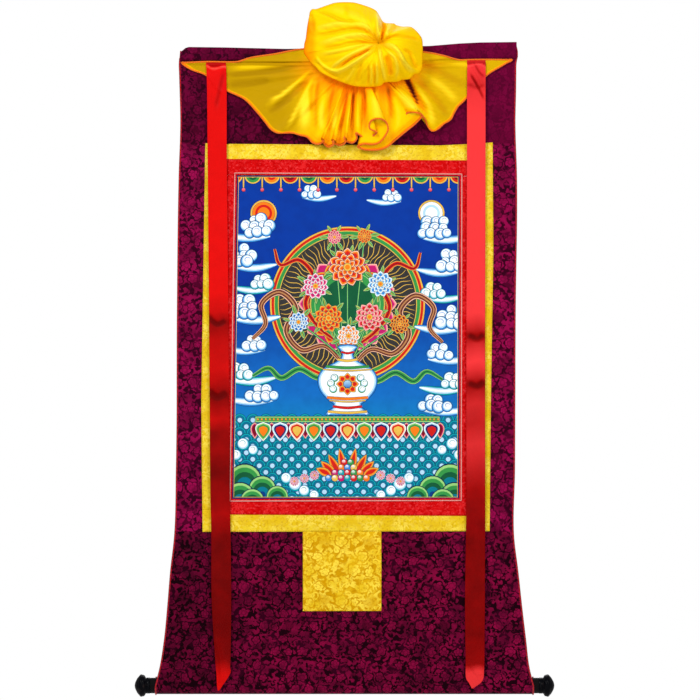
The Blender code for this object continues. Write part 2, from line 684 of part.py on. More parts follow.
def veil():
    """Make the veil: one gathered silk, from the pinch of its puff to the hem of its skirt."""
    rings = veil_rows()
    rows = len(rings)
    mesh = bmesh.new()
    bmesh.ops.create_grid(mesh, x_segments=VEIL_COLUMNS, y_segments=rows, size=1.0)
    mesh.verts.ensure_lookup_table()
    for index, vertex in enumerate(mesh.verts):
        row, column = divmod(index, VEIL_COLUMNS + 1)
        if row == rows:
            vertex.co = (PINCH_ACROSS * MM, -PINCH_STAND * MM, PINCH_HEIGHT * MM)
            continue
        across, stand, height = rings[rows - 1 - row][column % VEIL_COLUMNS]
        vertex.co = (across * MM, -stand * MM, height * MM)
    bmesh.ops.remove_doubles(mesh, verts=mesh.verts, dist=GAP * MM / 10)
    bmesh.ops.recalc_face_normals(mesh, faces=mesh.faces)
    data = bpy.data.meshes.new("veil")
    mesh.to_mesh(data)
    mesh.free()
    data.shade_smooth()
    piece = link("veil", data, "veil_silk")
    solid = piece.modifiers.new("silk thickness", "SOLIDIFY")
    solid.thickness = SILK * MM
    solid.offset = 0.0


def turned(name, finish, profile, across, direction):
    """Make a turned piece on the roller's axis from (distance out, radius) rows."""
    data = bpy.data.meshes.new(name)
    verts = [(radius * MM, 0.0, -distance * MM) for distance, radius in profile]
    data.from_pydata(verts, [(index, index + 1) for index in range(len(verts) - 1)], [])
    piece = link(name, data, finish)
    screw = piece.modifiers.new("turning", "SCREW")
    screw.axis = "Z"
    screw.steps = screw.render_steps = 32
    screw.use_merge_vertices = True
    screw.merge_threshold = 0.0001
    screw.use_smooth_shade = True
    piece.rotation_euler = (0.0, direction * math.radians(90.0), 0.0)
    piece.location = (across * MM, -ROLLER_STAND * MM, ROLLER_HEIGHT * MM)
    return piece


def roller():
    """Make the rod that fills the sleeve, and the turned knob on each of its ends."""
    length = ROD_RIGHT - ROD_LEFT
    rod = [(0.0, 0.0), (0.0, ROD_RADIUS), (length, ROD_RADIUS), (length, 0.0)]
    turned("roller_rod", "rod_wood", rod, ROD_LEFT, -1)
    rim_start, rim_end, dome = KNOB_LENGTH - 16.0, KNOB_LENGTH - 13.0, KNOB_LENGTH - 5.0
    knob = [
        (0.0, 0.0), (0.0, STEM_RADIUS), (KNOB_LENGTH - 22.0, STEM_RADIUS),
        (rim_start, HEAD_RADIUS - 0.8), (rim_end, HEAD_RADIUS), (KNOB_LENGTH - 9.0, HEAD_RADIUS - 3.5),
        (dome, HEAD_RADIUS - 8.5), (KNOB_LENGTH - 1.6, HEAD_RADIUS - 15.0), (KNOB_LENGTH, 0.0),
    ]
    turned("knob_left", "knob_lacquer", knob, ROD_LEFT - GAP, 1)
    turned("knob_right", "knob_lacquer", knob, ROD_RIGHT + GAP, -1)


def main():
    """Build the hanging in an emptied scene."""
    for piece in list(bpy.data.objects):
        bpy.data.objects.remove(piece, do_unlink=True)
    collection = bpy.data.collections.new(COLLECTION)
    bpy.context.scene.collection.children.link(collection)
    top_panel()
    side_panels()
    bottom_panel()
    edge_binding("left")
    edge_binding("right")
    frames()
    painting_piping()
    door_patch()
    ribbon("ribbon_left", RIBBON_LEFT)
    ribbon("ribbon_right", RIBBON_RIGHT)
    veil()
    roller()


main()
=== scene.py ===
"""Looks of a thangka scroll painting.

Brocade mounts, painted cotton, satin ribbons and a gathered silk veil.
"""

import logging
import math
from collections.abc import Callable, Iterable, Iterator, Sequence
from contextlib import contextmanager
from dataclasses import dataclass
from enum import Enum

import bmesh
import bpy
import numpy as np
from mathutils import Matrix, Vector
from mathutils.geometry import delaunay_2d_cdt

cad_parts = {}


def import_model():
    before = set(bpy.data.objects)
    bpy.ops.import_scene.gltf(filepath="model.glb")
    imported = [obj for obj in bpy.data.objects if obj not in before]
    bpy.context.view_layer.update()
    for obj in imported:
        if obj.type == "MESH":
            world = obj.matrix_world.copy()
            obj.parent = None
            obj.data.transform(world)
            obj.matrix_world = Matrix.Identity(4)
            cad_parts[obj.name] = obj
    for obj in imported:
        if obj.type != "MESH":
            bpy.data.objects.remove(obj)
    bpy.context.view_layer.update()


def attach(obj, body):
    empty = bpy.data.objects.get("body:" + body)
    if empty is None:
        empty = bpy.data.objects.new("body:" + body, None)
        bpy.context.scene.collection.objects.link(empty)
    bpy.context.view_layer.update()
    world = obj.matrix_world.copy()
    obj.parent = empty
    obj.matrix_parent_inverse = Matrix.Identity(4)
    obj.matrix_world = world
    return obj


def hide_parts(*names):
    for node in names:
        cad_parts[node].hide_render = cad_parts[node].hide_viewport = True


LOG = logging.getLogger("thangka")

MM = 0.001
BODY = "root"
BROCADE = 1.2
SILK = 0.6
GAP = 0.3
LAYER = BROCADE + GAP
LAP = 9.0
SIDE_SEAM = -198.0
FRAME_FOOT = -974.0
ROLLER_HEIGHT = -1284.0
ROLLER_STAND = 19.5
ROD_RADIUS = 15.5
SLEEVE_RADIUS = ROD_RADIUS + GAP + BROCADE / 2
FRAME_LEFT = ((-196, -282), (-310, -283.6), (-712, -289), (-976, -286))
FRAME_RIGHT = ((-196, 294), (-420, 295), (-712, 289.4), (-976, 286.4))
ART_LEFT = ((-260, -218.6), (-912, -227.4))
ART_RIGHT = ((-260, 228), (-912, 225.8))

Line = Callable[[np.ndarray], np.ndarray]
Colour = tuple[float, float, float]
Rows = Sequence[Sequence[float]]


def mix(low: float, high: float, share: float) -> float:
    """Return the value a share of the way from low to high."""
    return low + (high - low) * share


def ease(value: np.ndarray) -> np.ndarray:
    """Return an even S-shaped ramp from 0 to 1."""
    held = np.clip(value, 0.0, 1.0)
    return held * held * (3.0 - 2.0 * held)


def read_smooth(keys: Sequence[float], values: Sequence[float], at: np.ndarray) -> np.ndarray:
    """Read a table on a smooth curve through its rows.

    Args:
        keys: The table's places, rising.
        values: The value at each place.
        at: Where to read it.

    Returns:
        The values there, held at the ends.
    """
    places, heights = np.asarray(keys, float), np.asarray(values, float)
    slopes = np.gradient(heights, places)
    index = np.clip(np.searchsorted(places, at) - 1, 0, len(places) - 2)
    width = places[index + 1] - places[index]
    share = np.clip((at - places[index]) / width, 0.0, 1.0)
    square, cube = share**2, share**3
    start, end = heights[index], heights[index + 1]
    return (
        start * (2 * cube - 3 * square + 1)
        + slopes[index] * width * (cube - 2 * square + share)
        + end * (3 * square - 2 * cube)
        + slopes[index + 1] * width * (cube - square)
    )


def smooth_path(points: Rows, count: int, closed: bool = False) -> np.ndarray:
    """Return evenly spaced points on a smooth curve through given points.

    Args:
        points: The given points, of two or three values each.
        count: How many points to return.
        closed: Whether the curve joins its own start.

    Returns:
        An array of count points. A closed curve's start isn't repeated.
    """
    rows = np.asarray(points, float)
    if closed:
        padded = np.vstack([rows[-1:], rows, rows[:2]])
    else:
        padded = np.vstack([2 * rows[:1] - rows[1:2], rows, 2 * rows[-1:] - rows[-2:-1]])
    share = np.linspace(0.0, 1.0, 12, endpoint=False)[:, None]
    spans = []
    for before, start, end, after in zip(padded, padded[1:], padded[2:], padded[3:]):
        bend = 2 * before - 5 * start + 4 * end - after
        turn = 3 * start - before - 3 * end + after
        spans.append(start + 0.5 * ((end - before) * share + bend * share**2 + turn * share**3))
    dense = np.vstack(spans + [padded[-2:-1]])
    steps = np.concatenate([[0.0], np.cumsum(np.linalg.norm(np.diff(dense, axis=0), axis=1))])
    wanted = np.linspace(0.0, steps[-1], count, endpoint=not closed)
    return np.column_stack([np.interp(wanted, steps, dense[:, axis]) for axis in range(rows.shape[1])])


@dataclass(frozen=True)
class Crease:
    """A soft ridge or trough set on a cloth, in millimetres.

    The points run along it. Its width is from foot to foot across, and lean sharpens one side.
    """

    points: Rows
    width: float
    rise: float
    lean: float = 0.0

    def lift(self, across: np.ndarray, height: np.ndarray) -> np.ndarray:
        """Return how far the crease lifts a cloth.

        Args:
            across: Places across.
            height: Places in height.

        Returns:
            The lift at each place, fading to nothing at both ends of the crease.
        """
        path = smooth_path(self.points, 5 * len(self.points))
        nearest = np.full(across.shape, 1e9)
        place = np.zeros(across.shape)
        side = np.zeros(across.shape)
        for index, (start, end) in enumerate(zip(path, path[1:])):
            run = end - start
            length = max(np.hypot(*run), 1e-6)
            reached = (across - start[0]) * run[0] + (height - start[1]) * run[1]
            share = np.clip(reached / length**2, 0.0, 1.0)
            off_across = across - start[0] - share * run[0]
            off_height = height - start[1] - share * run[1]
            distance = np.hypot(off_across, off_height)
            closer = distance < nearest
            nearest = np.where(closer, distance, nearest)
            place = np.where(closer, (index + share) / (len(path) - 1), place)
            side = np.where(closer, np.sign(run[0] * off_height - run[1] * off_across), side)
        reach = self.width / 2 * (1.0 + self.lean * side)
        body = np.clip(1.0 - nearest / reach, 0.0, 1.0)
        fade = ease(place * 5.0) * ease((1.0 - place) * 5.0)
        return self.rise * ease(body) * (0.15 + 0.85 * fade)


def creased(creases: Iterable[Crease], across: np.ndarray, height: np.ndarray) -> np.ndarray:
    """Return the sum of the creases' lifts."""
    total = np.zeros(across.shape)
    for crease in creases:
        total += crease.lift(across, height)
    return total


class Bench:
    """Lays out and joins the nodes of one tree."""

    def __init__(self, tree: bpy.types.NodeTree) -> None:
        """Keep the tree that the nodes go into."""
        self.tree = tree

    def node(self, kind: str, **settings: object) -> bpy.types.Node:
        """Return a new node of a kind with its settings made."""
        made = self.tree.nodes.new(kind)
        for name, value in settings.items():
            setattr(made, name, value)
        return made

    def feed(self, socket: bpy.types.NodeSocket, value: object) -> None:
        """Link a socket to another, or set its own value."""
        if isinstance(value, bpy.types.NodeSocket):
            self.tree.links.new(value, socket)
        else:
            socket.default_value = value

    def math(self, operation: str, *values: object, clamp: bool = False) -> bpy.types.NodeSocket:
        """Return the result of a Math node."""
        made = self.node("ShaderNodeMath", operation=operation, use_clamp=clamp)
        for socket, value in zip(made.inputs, values):
            self.feed(socket, value)
        return made.outputs[0]

    def times(self, one: object, other: object) -> bpy.types.NodeSocket:
        """Return one value times another."""
        return self.math("MULTIPLY", one, other)

    def cloth(self) -> bpy.types.NodeSocket:
        """Return the place on the flat cloth in metres."""
        return self.node("ShaderNodeUVMap", uv_map="cloth").outputs["UV"]

    def parts(self, place: object) -> bpy.types.NodeOutputs:
        """Return the three parts of a place."""
        split = self.node("ShaderNodeSeparateXYZ")
        self.feed(split.inputs[0], place)
        return split.outputs

    def vector(self, operation: str, *values: object) -> bpy.types.NodeSocket:
        """Return the result of a Vector Math node, as a number where the operation gives one."""
        made = self.node("ShaderNodeVectorMath", operation=operation)
        sockets = [made.inputs[0], made.inputs[3] if operation == "SCALE" else made.inputs[1]]
        for socket, value in zip(sockets, values):
            self.feed(socket, value)
        return made.outputs["Value"] if operation in ("LENGTH", "DOT_PRODUCT") else made.outputs[0]

    def fade(self, value: object, low: float, high: float) -> bpy.types.NodeSocket:
        """Return a smooth ramp, 0 at low and 1 at high, which may run either way."""
        made = self.node("ShaderNodeMapRange", interpolation_type="SMOOTHSTEP")
        start, end, first, last = (low, high, 0.0, 1.0) if low < high else (high, low, 1.0, 0.0)
        for name, number in (("From Min", start), ("From Max", end), ("To Min", first), ("To Max", last)):
            made.inputs[name].default_value = number
        self.feed(made.inputs["Value"], value)
        return made.outputs["Result"]

    def blend(self, share: object, low: object, high: object, kind: str = "MIX") -> bpy.types.NodeSocket:
        """Return a colour mixed from two."""
        made = self.node("ShaderNodeMix", data_type="RGBA", blend_type=kind)
        self.feed(made.inputs["Factor"], share)
        self.feed(made.inputs["A"], opaque(low))
        self.feed(made.inputs["B"], opaque(high))
        return made.outputs["Result"]

    def noise(self, place: object, scale: float, detail: float = 2.0) -> bpy.types.NodeSocket:
        """Return a soft noise from 0 to 1 at a scale in waves to the metre."""
        made = self.node("ShaderNodeTexNoise")
        self.feed(made.inputs["Vector"], place)
        made.inputs["Scale"].default_value = scale
        made.inputs["Detail"].default_value = detail
        return made.outputs["Fac"]

    def coat(self, shader: bpy.types.Node, colour: object, roughness: object, gloss: float) -> None:
        """Give a shader its colour, its roughness and its gloss."""
        for name, value in (("Base Color", colour), ("Roughness", roughness), ("Specular IOR Level", gloss)):
            self.feed(shader.inputs[name], value)


def opaque(value: object) -> object:
    """Return a colour with its alpha, and leave a socket as it is."""
    return (*value, 1.0) if isinstance(value, tuple) and len(value) == 3 else value


def linear(red: float, green: float, blue: float) -> Colour:
    """Return the linear colour of an 8-bit screen colour."""
    return tuple(((part / 255.0 + 0.055) / 1.055) ** 2.4 if part > 10 else part / 255.0 / 12.92
                 for part in (red, green, blue))


class Weave(Enum):
    """The ways that the cloths are woven."""

    PLAIN = "plain"
    SATIN = "satin"
    TWILL = "twill"


@dataclass(frozen=True)
class Finish:
    """What every finish shares: its name, and how its material is made."""

    name: str

    def material(self) -> bpy.types.Material:
        """Return the finish's new material."""
        bench, shader = new_material(self.name)
        self.dress(bench, shader)
        return bpy.data.materials[self.name]

    def dress(self, bench: Bench, shader: bpy.types.Node) -> None:
        """Lay out the finish's nodes, which each kind of finish does in its own way."""
        raise NotImplementedError


@dataclass(frozen=True)
class BrocadeFinish(Finish):
    """A figured cloth: flowers, leaves and tendrils in a lighter thread on its ground.

    The motif is the room that each blossom has, and the repeat is how many rooms the loom's pattern has
    across and in height before it starts again. Both colour pairs are linear. A painted shade can darken
    the cloth towards its left, and a painted light can brighten it towards its right.
    """

    ground: Colour
    roundel: Colour
    figure: Colour
    figure_deep: Colour
    motif: float = 0.026
    repeat: tuple[float, float] = (6.0, 7.0)
    strength: float = 1.0
    curls: float = 0.6
    roughness: float = 0.5
    gloss: float = 0.02
    fading: float = 0.12
    # The next two set how strongly painted shade darkens the left and painted light brightens the right.
    dusk: float = 0.0
    dawn: float = 0.0
    flecks: Colour | None = None
    relief: float = 0.35

    def dress(self, bench: Bench, shader: bpy.types.Node) -> None:
        """Lay out the cloth's nodes, which read the piece's UV map in metres."""
        place = bench.cloth()
        wobble = bench.node("ShaderNodeTexNoise")
        bench.feed(wobble.inputs["Vector"], place)
        wobble.inputs["Scale"].default_value = 1.2 / self.motif
        away = bench.vector("SUBTRACT", wobble.outputs["Color"], (0.5, 0.5, 0.5))
        bent = bench.vector("ADD", place, bench.vector("SCALE", away, 0.55 * self.motif))
        blossoms = self.motifs(bench, bent, self.motif, 1.0, 0.18, 1.0)
        leaves = self.motifs(bench, bent, self.motif * 0.36, 2.0, 0.24, 4.0)
        sprigs = self.motifs(bench, bent, self.motif * 0.55, 2.0, 0.24, 14.0)
        curls = self.motifs(bench, bent, self.motif * 0.75, 1.5, 0.08, 9.0)
        rounds = self.motifs(bench, bent, self.motif * 2, 0.5, 0.25, 6.0)
        flower, halo = self.blossom(bench, blossoms)
        curl = self.curl(bench, curls)
        blooms = bench.fade(blossoms[3], 0.42, 0.46)
        flower = bench.times(flower, blooms)
        room = bench.times(halo, blooms)
        small = bench.math("MAXIMUM", self.leaf(bench, leaves), self.leaf(bench, sprigs))
        small = bench.math("MAXIMUM", small, bench.times(curl, self.curls))
        spread = bench.fade(bench.noise(place, 1.1 / self.motif, 1.0), 0.42, 0.54)
        tangle = bench.noise(bent, 3.2 / self.motif, 0.6)
        scrolls = bench.times(bench.fade(tangle, 0.515, 0.545), 0.85)
        small = bench.math("MAXIMUM", bench.times(small, spread), scrolls)
        small = bench.times(small, bench.math("SUBTRACT", 1.0, room))
        figure = bench.math("MAXIMUM", flower, small, clamp=True)
        figure = bench.times(figure, self.strength)
        dim = bench.fade(rounds[1], 0.36, 0.28)
        ground = bench.blend(dim, self.ground, self.roundel)
        patches = bench.fade(bench.noise(place, 30.0), 0.35, 0.65)
        thread = bench.blend(patches, self.figure_deep, self.figure)
        colour = bench.blend(figure, ground, thread)
        if self.flecks:
            specks = bench.fade(bench.noise(place, 200.0, 1.0), 0.56, 0.66)
            colour = bench.blend(bench.times(specks, 0.4), colour, self.flecks)
        rub = bench.fade(bench.noise(place, 3.0, 3.0), 0.3, 0.75)
        dimmed = bench.blend(1.0, colour, (0.6, 0.6, 0.62), "MULTIPLY")
        parts = bench.parts(place)
        # Painted shade towards the left of the cloth, painted light towards its right.
        dusk = bench.times(bench.fade(parts["X"], -0.14, -0.32), self.dusk)
        dawn = bench.times(bench.fade(parts["X"], 0.08, 0.24), self.dawn)
        # worn holds the rubbed wear together with the painted shade on the left, less the painted light on
        # the right.
        worn = bench.math("MULTIPLY_ADD", rub, self.fading, bench.math("SUBTRACT", dusk, dawn), clamp=True)
        colour = bench.blend(worn, colour, dimmed)
        # More painted light: towards the right the colour is also mixed towards the lighter figure thread.
        colour = bench.blend(bench.times(dawn, 0.4), colour, self.figure)
        roughness = bench.math("SUBTRACT", self.roughness + 0.08, bench.times(figure, 0.16))
        bench.coat(shader, colour, roughness, self.gloss)
        threads = woven(bench, place, Weave.SATIN, 0.0007)
        height = bench.math("ADD", bench.times(figure, self.relief), threads)
        raise_bumps(bench, shader, height, 0.00025)

    def motifs(self, bench: Bench, place: object, room: float, times: float, wander: float,
               seed: float) -> tuple[object, object, object, object]:
        """Lay out one motif in each room of a brick pattern that repeats as the loom's does.

        Args:
            bench: The material's bench.
            place: The place on the cloth in metres.
            room: The width of one room in metres.
            times: How many of these rooms go into one blossom's room each way.
            wander: How far a motif may stray from its room's middle, as a share of the room.
            seed: The number that sets this layer apart.

        Returns:
            The direction round the motif's middle, the distance from it in rooms, and two chances.
        """
        spot = bench.vector("ADD", bench.vector("SCALE", place, 1.0 / room), (0.37 * seed, 0.61 * seed, 0.0))
        parts = bench.parts(spot)
        row = bench.math("FLOOR", parts["Y"])
        odd = bench.math("MODULO", bench.math("ABSOLUTE", row), 2.0)
        shifted = bench.math("ADD", parts["X"], bench.times(odd, 0.5))
        column = bench.math("FLOOR", shifted)
        across, up = self.repeat
        cell = bench.node("ShaderNodeCombineXYZ")
        bench.feed(cell.inputs["X"], bench.math("FLOORED_MODULO", column, max(1.0, round(across * times))))
        bench.feed(cell.inputs["Y"], bench.math("FLOORED_MODULO", row, 2.0 * round(up * times / 2)))
        cell.inputs["Z"].default_value = seed
        chance = bench.node("ShaderNodeTexWhiteNoise", noise_dimensions="3D")
        bench.feed(chance.inputs["Vector"], cell.outputs[0])
        draws = bench.node("ShaderNodeSeparateColor")
        bench.feed(draws.inputs[0], chance.outputs["Color"])
        middle = [bench.math("MULTIPLY_ADD", draws.outputs[axis], wander, 0.5 - wander / 2)
                  for axis in (0, 1)]
        off_across = bench.math("SUBTRACT", bench.math("SUBTRACT", shifted, column), middle[0])
        off_up = bench.math("SUBTRACT", bench.math("SUBTRACT", parts["Y"], row), middle[1])
        turn = bench.math("ARCTAN2", off_up, off_across)
        turn = bench.math("MULTIPLY_ADD", draws.outputs[2], 2 * math.pi, turn)
        off = bench.node("ShaderNodeCombineXYZ")
        bench.feed(off.inputs["X"], off_across)
        bench.feed(off.inputs["Y"], off_up)
        return turn, bench.vector("LENGTH", off.outputs[0]), draws.outputs[1], draws.outputs[2]

    def blossom(self, bench: Bench, motif: tuple) -> tuple[object, object]:
        """Return a scalloped blossom of five petals with a ringed heart, and the bare ground round it."""
        turn, away, chance, _ = motif
        petals = bench.math("ABSOLUTE", bench.math("COSINE", bench.times(turn, 2.5)))
        edge = bench.math("MULTIPLY_ADD", petals, 0.11, 0.27)
        edge = bench.times(edge, bench.math("MULTIPLY_ADD", chance, 0.40, 0.70))
        reach = bench.math("DIVIDE", away, edge)
        body = bench.fade(reach, 1.08, 0.92)
        ring = bench.times(bench.fade(reach, 0.36, 0.46), bench.fade(reach, 0.64, 0.52))
        between = bench.times(bench.fade(petals, 0.34, 0.10), bench.fade(reach, 0.40, 0.60))
        cuts = bench.math("MAXIMUM", bench.times(ring, 0.45), bench.times(between, 0.6))
        return bench.times(body, bench.math("SUBTRACT", 1.0, cuts)), bench.fade(reach, 1.36, 1.2)

    def leaf(self, bench: Bench, motif: tuple) -> object:
        """Return a small pointed leaf or bud that lies in a direction of its own."""
        turn, away, chance, _ = motif
        narrow = bench.math("ABSOLUTE", bench.math("COSINE", turn))
        edge = bench.math("MULTIPLY_ADD", bench.math("POWER", narrow, 2.0), 0.25, 0.11)
        edge = bench.times(edge, bench.math("MULTIPLY_ADD", chance, 0.4, 0.7))
        body = bench.fade(bench.math("DIVIDE", away, edge), 1.15, 0.85)
        return bench.times(body, bench.math("MULTIPLY_ADD", chance, 0.55, 0.35))

    def curl(self, bench: Bench, motif: tuple) -> object:
        """Return a curled tendril."""
        turn, away, _, _ = motif
        round_it = bench.math("DIVIDE", turn, 2 * math.pi)
        wound = bench.math("FRACT", bench.math("MULTIPLY_ADD", away, 3.2, round_it))
        line = bench.fade(bench.math("ABSOLUTE", bench.math("SUBTRACT", wound, 0.5)), 0.26, 0.16)
        return bench.times(line, bench.fade(away, 0.46, 0.38))


def new_material(name: str) -> tuple[Bench, bpy.types.Node]:
    """Return a bench for a new material and its main shader."""
    material = bpy.data.materials.new(name)
    material.use_nodes = True
    return Bench(material.node_tree), material.node_tree.nodes["Principled BSDF"]


def woven(bench: Bench, place: object, weave: Weave, thread: float) -> object:
    """Return the height of the threads of a weave.

    Args:
        bench: The material's bench.
        place: The place on the cloth in metres.
        weave: How the cloth is woven.
        thread: The pitch of its threads in metres.

    Returns:
        A height from 0 to about 0.5.
    """
    parts = bench.parts(place)
    rate = 2 * math.pi / thread
    across = bench.math("SINE", bench.times(parts["X"], rate))
    up = bench.math("SINE", bench.times(parts["Y"], rate))
    if weave is Weave.PLAIN:
        return bench.times(bench.times(across, up), 0.25)
    if weave is Weave.SATIN:
        return bench.math("ADD", bench.times(up, 0.18), bench.times(across, 0.05))
    slant = bench.math("ADD", parts["X"], parts["Y"])
    return bench.times(bench.math("SINE", bench.times(slant, rate)), 0.25)


def raise_bumps(bench: Bench, shader: bpy.types.Node, height: object, depth: float) -> None:
    """Give a shader bumps of a height whose 1 is depth metres."""
    bump = bench.node("ShaderNodeBump")
    bump.inputs["Strength"].default_value = 1.0
    bump.inputs["Distance"].default_value = depth
    bench.feed(bump.inputs["Height"], height)
    bench.feed(shader.inputs["Normal"], bump.outputs["Normal"])


@dataclass(frozen=True)
class SilkFinish(Finish):
    """A glossy silk or satin whose light and shade are painted from two attributes.

    Where the fold attribute is high it takes painted shade, below nought a painted highlight and over one a
    painted shadow. The second attribute mixes in a painted see-through shade on the veil and a painted sheen
    on the ribbon.
    """

    colour: Colour
    # deep is the painted shade in troughs, pale the painted highlight on ridges, gap the painted shadow in a
    # slit, and olive the colour of the second attribute: painted see-through shade on the veil, painted sheen
    # on the ribbon.
    deep: Colour
    olive: Colour
    roughness: float
    pale: Colour
    gap: Colour
    gloss: float = 0.2
    weave: float = 0.0006
    crumple: float = 0.0006

    def dress(self, bench: Bench, shader: bpy.types.Node) -> None:
        """Lay out the silk's nodes, which read the piece's UV map and its two attributes of painted light and
        shade.
        """
        place = bench.cloth()
        depth = bench.node("ShaderNodeAttribute", attribute_name="fold").outputs["Fac"]
        sheer = bench.node("ShaderNodeAttribute", attribute_name="sheer").outputs["Fac"]
        soft = bench.noise(place, 30.0, 3.0)
        fine = bench.noise(place, 110.0, 2.0)
        # Painted shade: the fold attribute mixes in the deep colour, with a soft noise for uneven colour.
        fold_shade_and_mottle = bench.math("ADD", depth, bench.math("MULTIPLY_ADD", soft, 0.30, -0.15), clamp=True)
        # Painted highlight below nought of the fold attribute, painted shadow above one.
        painted_highlight = bench.math("MULTIPLY", depth, -1.0, clamp=True)
        gap_shadow = bench.math("SUBTRACT", depth, 1.0, clamp=True)
        colour = bench.blend(fold_shade_and_mottle, self.colour, self.deep)
        colour = bench.blend(painted_highlight, colour, self.pale)
        # The second attribute: painted see-through shade on the veil, painted sheen on the ribbon.
        colour = bench.blend(sheer, colour, self.olive)
        colour = bench.blend(gap_shadow, colour, self.gap)
        roughness = bench.math("MULTIPLY_ADD", fine, 0.16, self.roughness - 0.08)
        bench.coat(shader, colour, roughness, self.gloss)
        creases = bench.math("MULTIPLY_ADD", soft, 1.0, bench.times(fine, 0.25))
        threads = bench.times(woven(bench, place, Weave.PLAIN, self.weave), 0.12)
        raise_bumps(bench, shader, bench.math("ADD", creases, threads), self.crumple)


@dataclass(frozen=True)
class CordFinish(Finish):
    """A round cord or binding of twisted or folded thread."""

    colour: Colour
    shade: Colour
    twist: float = 0.004
    roughness: float = 0.7
    gloss: float = 0.12

    def dress(self, bench: Bench, shader: bpy.types.Node) -> None:
        """Lay out the cord's nodes, whose twist runs along its UV map in metres."""
        place = bench.cloth()
        parts = bench.parts(place)
        slant = bench.math("MULTIPLY_ADD", parts["X"], 0.8, parts["Y"])
        strand = bench.math("SINE", bench.times(slant, 2 * math.pi / self.twist))
        height = bench.math("MULTIPLY_ADD", strand, 0.5, 0.5)
        worn = bench.noise(place, 25.0, 3.0)
        # Painted shade: the grooves of the twist take the darker shade colour, mottled by noise.
        share = bench.times(bench.math("ADD", height, worn), 0.5)
        roughness = bench.math("MULTIPLY_ADD", worn, 0.2, self.roughness - 0.1)
        bench.coat(shader, bench.blend(share, self.shade, self.colour), roughness, self.gloss)
        shader.inputs["Sheen Weight"].default_value = 0.2
        raise_bumps(bench, shader, height, 0.0003)


@dataclass(frozen=True)
class LacquerFinish(Finish):
    """Turned wood under dark lacquer, with faint turning lines and rubbed patches."""

    colour: Colour
    rubbed: Colour
    roughness: float

    def dress(self, bench: Bench, shader: bpy.types.Node) -> None:
        """Lay out the lacquer's nodes, on Object coordinates."""
        place = bench.node("ShaderNodeTexCoord").outputs["Object"]
        stretched = bench.vector("MULTIPLY", place, (1.0, 0.06, 0.06))
        grain = bench.noise(stretched, 900.0, 3.0)
        worn = bench.fade(bench.noise(place, 60.0, 4.0), 0.56, 0.74)
        colour = bench.blend(bench.times(worn, 0.7), self.colour, self.rubbed)
        bench.coat(shader, colour, bench.math("MULTIPLY_ADD", worn, 0.2, self.roughness), 0.04)
        shader.inputs["Coat Weight"].default_value = 0.012
        shader.inputs["Coat Roughness"].default_value = 0.15
        raise_bumps(bench, shader, grain, 0.0001)


@dataclass(frozen=True)
class PaintFinish(Finish):
    """Mineral paint on fine cotton, in the colours of the paint attribute."""

    roughness: float = 0.62

    def dress(self, bench: Bench, shader: bpy.types.Node) -> None:
        """Lay out the painted cotton's nodes."""
        place = bench.cloth()
        paint = bench.node("ShaderNodeAttribute", attribute_name="paint").outputs["Color"]
        grit = bench.noise(place, 900.0, 2.0)
        wash = bench.fade(bench.noise(place, 40.0, 3.0), 0.35, 0.75)
        shaded = bench.blend(bench.times(grit, 0.25), paint, (0.5, 0.5, 0.5), "OVERLAY")
        washed = bench.blend(1.0, shaded, (0.86, 0.86, 0.88), "MULTIPLY")
        roughness = bench.math("MULTIPLY_ADD", grit, 0.12, self.roughness)
        bench.coat(shader, bench.blend(wash, shaded, washed), roughness, 0.08)
        weave = woven(bench, place, Weave.PLAIN, 0.0008)
        raise_bumps(bench, shader, bench.math("MULTIPLY_ADD", grit, 0.3, weave), 0.00012)


@dataclass(frozen=True)
class ThreadFinish(Finish):
    """Sewing thread, a little uneven in its dye."""

    colour: Colour
    deep: Colour
    gloss: float = 0.1

    def dress(self, bench: Bench, shader: bpy.types.Node) -> None:
        """Lay out the thread's nodes, on Object coordinates."""
        place = bench.node("ShaderNodeTexCoord").outputs["Object"]
        dye = bench.noise(place, 700.0, 2.0)
        roughness = bench.math("MULTIPLY_ADD", dye, 0.2, 0.5)
        bench.coat(shader, bench.blend(dye, self.colour, self.deep), roughness, self.gloss)


@dataclass(frozen=True)
class LiningFinish(Finish):
    """The plain back of a cloth, in the duller colour of its reverse."""

    colour: Colour
    thread: Colour
    weave: Weave = Weave.TWILL

    def dress(self, bench: Bench, shader: bpy.types.Node) -> None:
        """Lay out the reverse's nodes."""
        place = bench.cloth()
        cloudy = bench.fade(bench.noise(place, 38.0, 4.0), 0.35, 0.7)
        slubs = bench.noise(bench.vector("MULTIPLY", place, (40.0, 900.0, 1.0)), 1.0, 2.0)
        share = bench.times(bench.math("ADD", cloudy, slubs), 0.5)
        bench.feed(shader.inputs["Base Color"], bench.blend(share, self.colour, self.thread))
        shader.inputs["Roughness"].default_value = 0.8
        shader.inputs["Sheen Weight"].default_value = 0.15
        raise_bumps(bench, shader, bench.math("ADD", slubs, woven(bench, place, self.weave, 0.0011)), 0.0002)


def placed(name: str, data: bpy.types.ID) -> bpy.types.Object:
    """Return a new object that is in the scene."""
    piece = bpy.data.objects.new(name, data)
    bpy.context.scene.collection.objects.link(piece)
    return piece


def quarters(grid: np.ndarray) -> list[np.ndarray]:
    """Return the four corners of every square of a grid, in the order that faces it out of the wall."""
    return [grid[1:, :-1], grid[1:, 1:], grid[:-1, 1:], grid[:-1, :-1]]


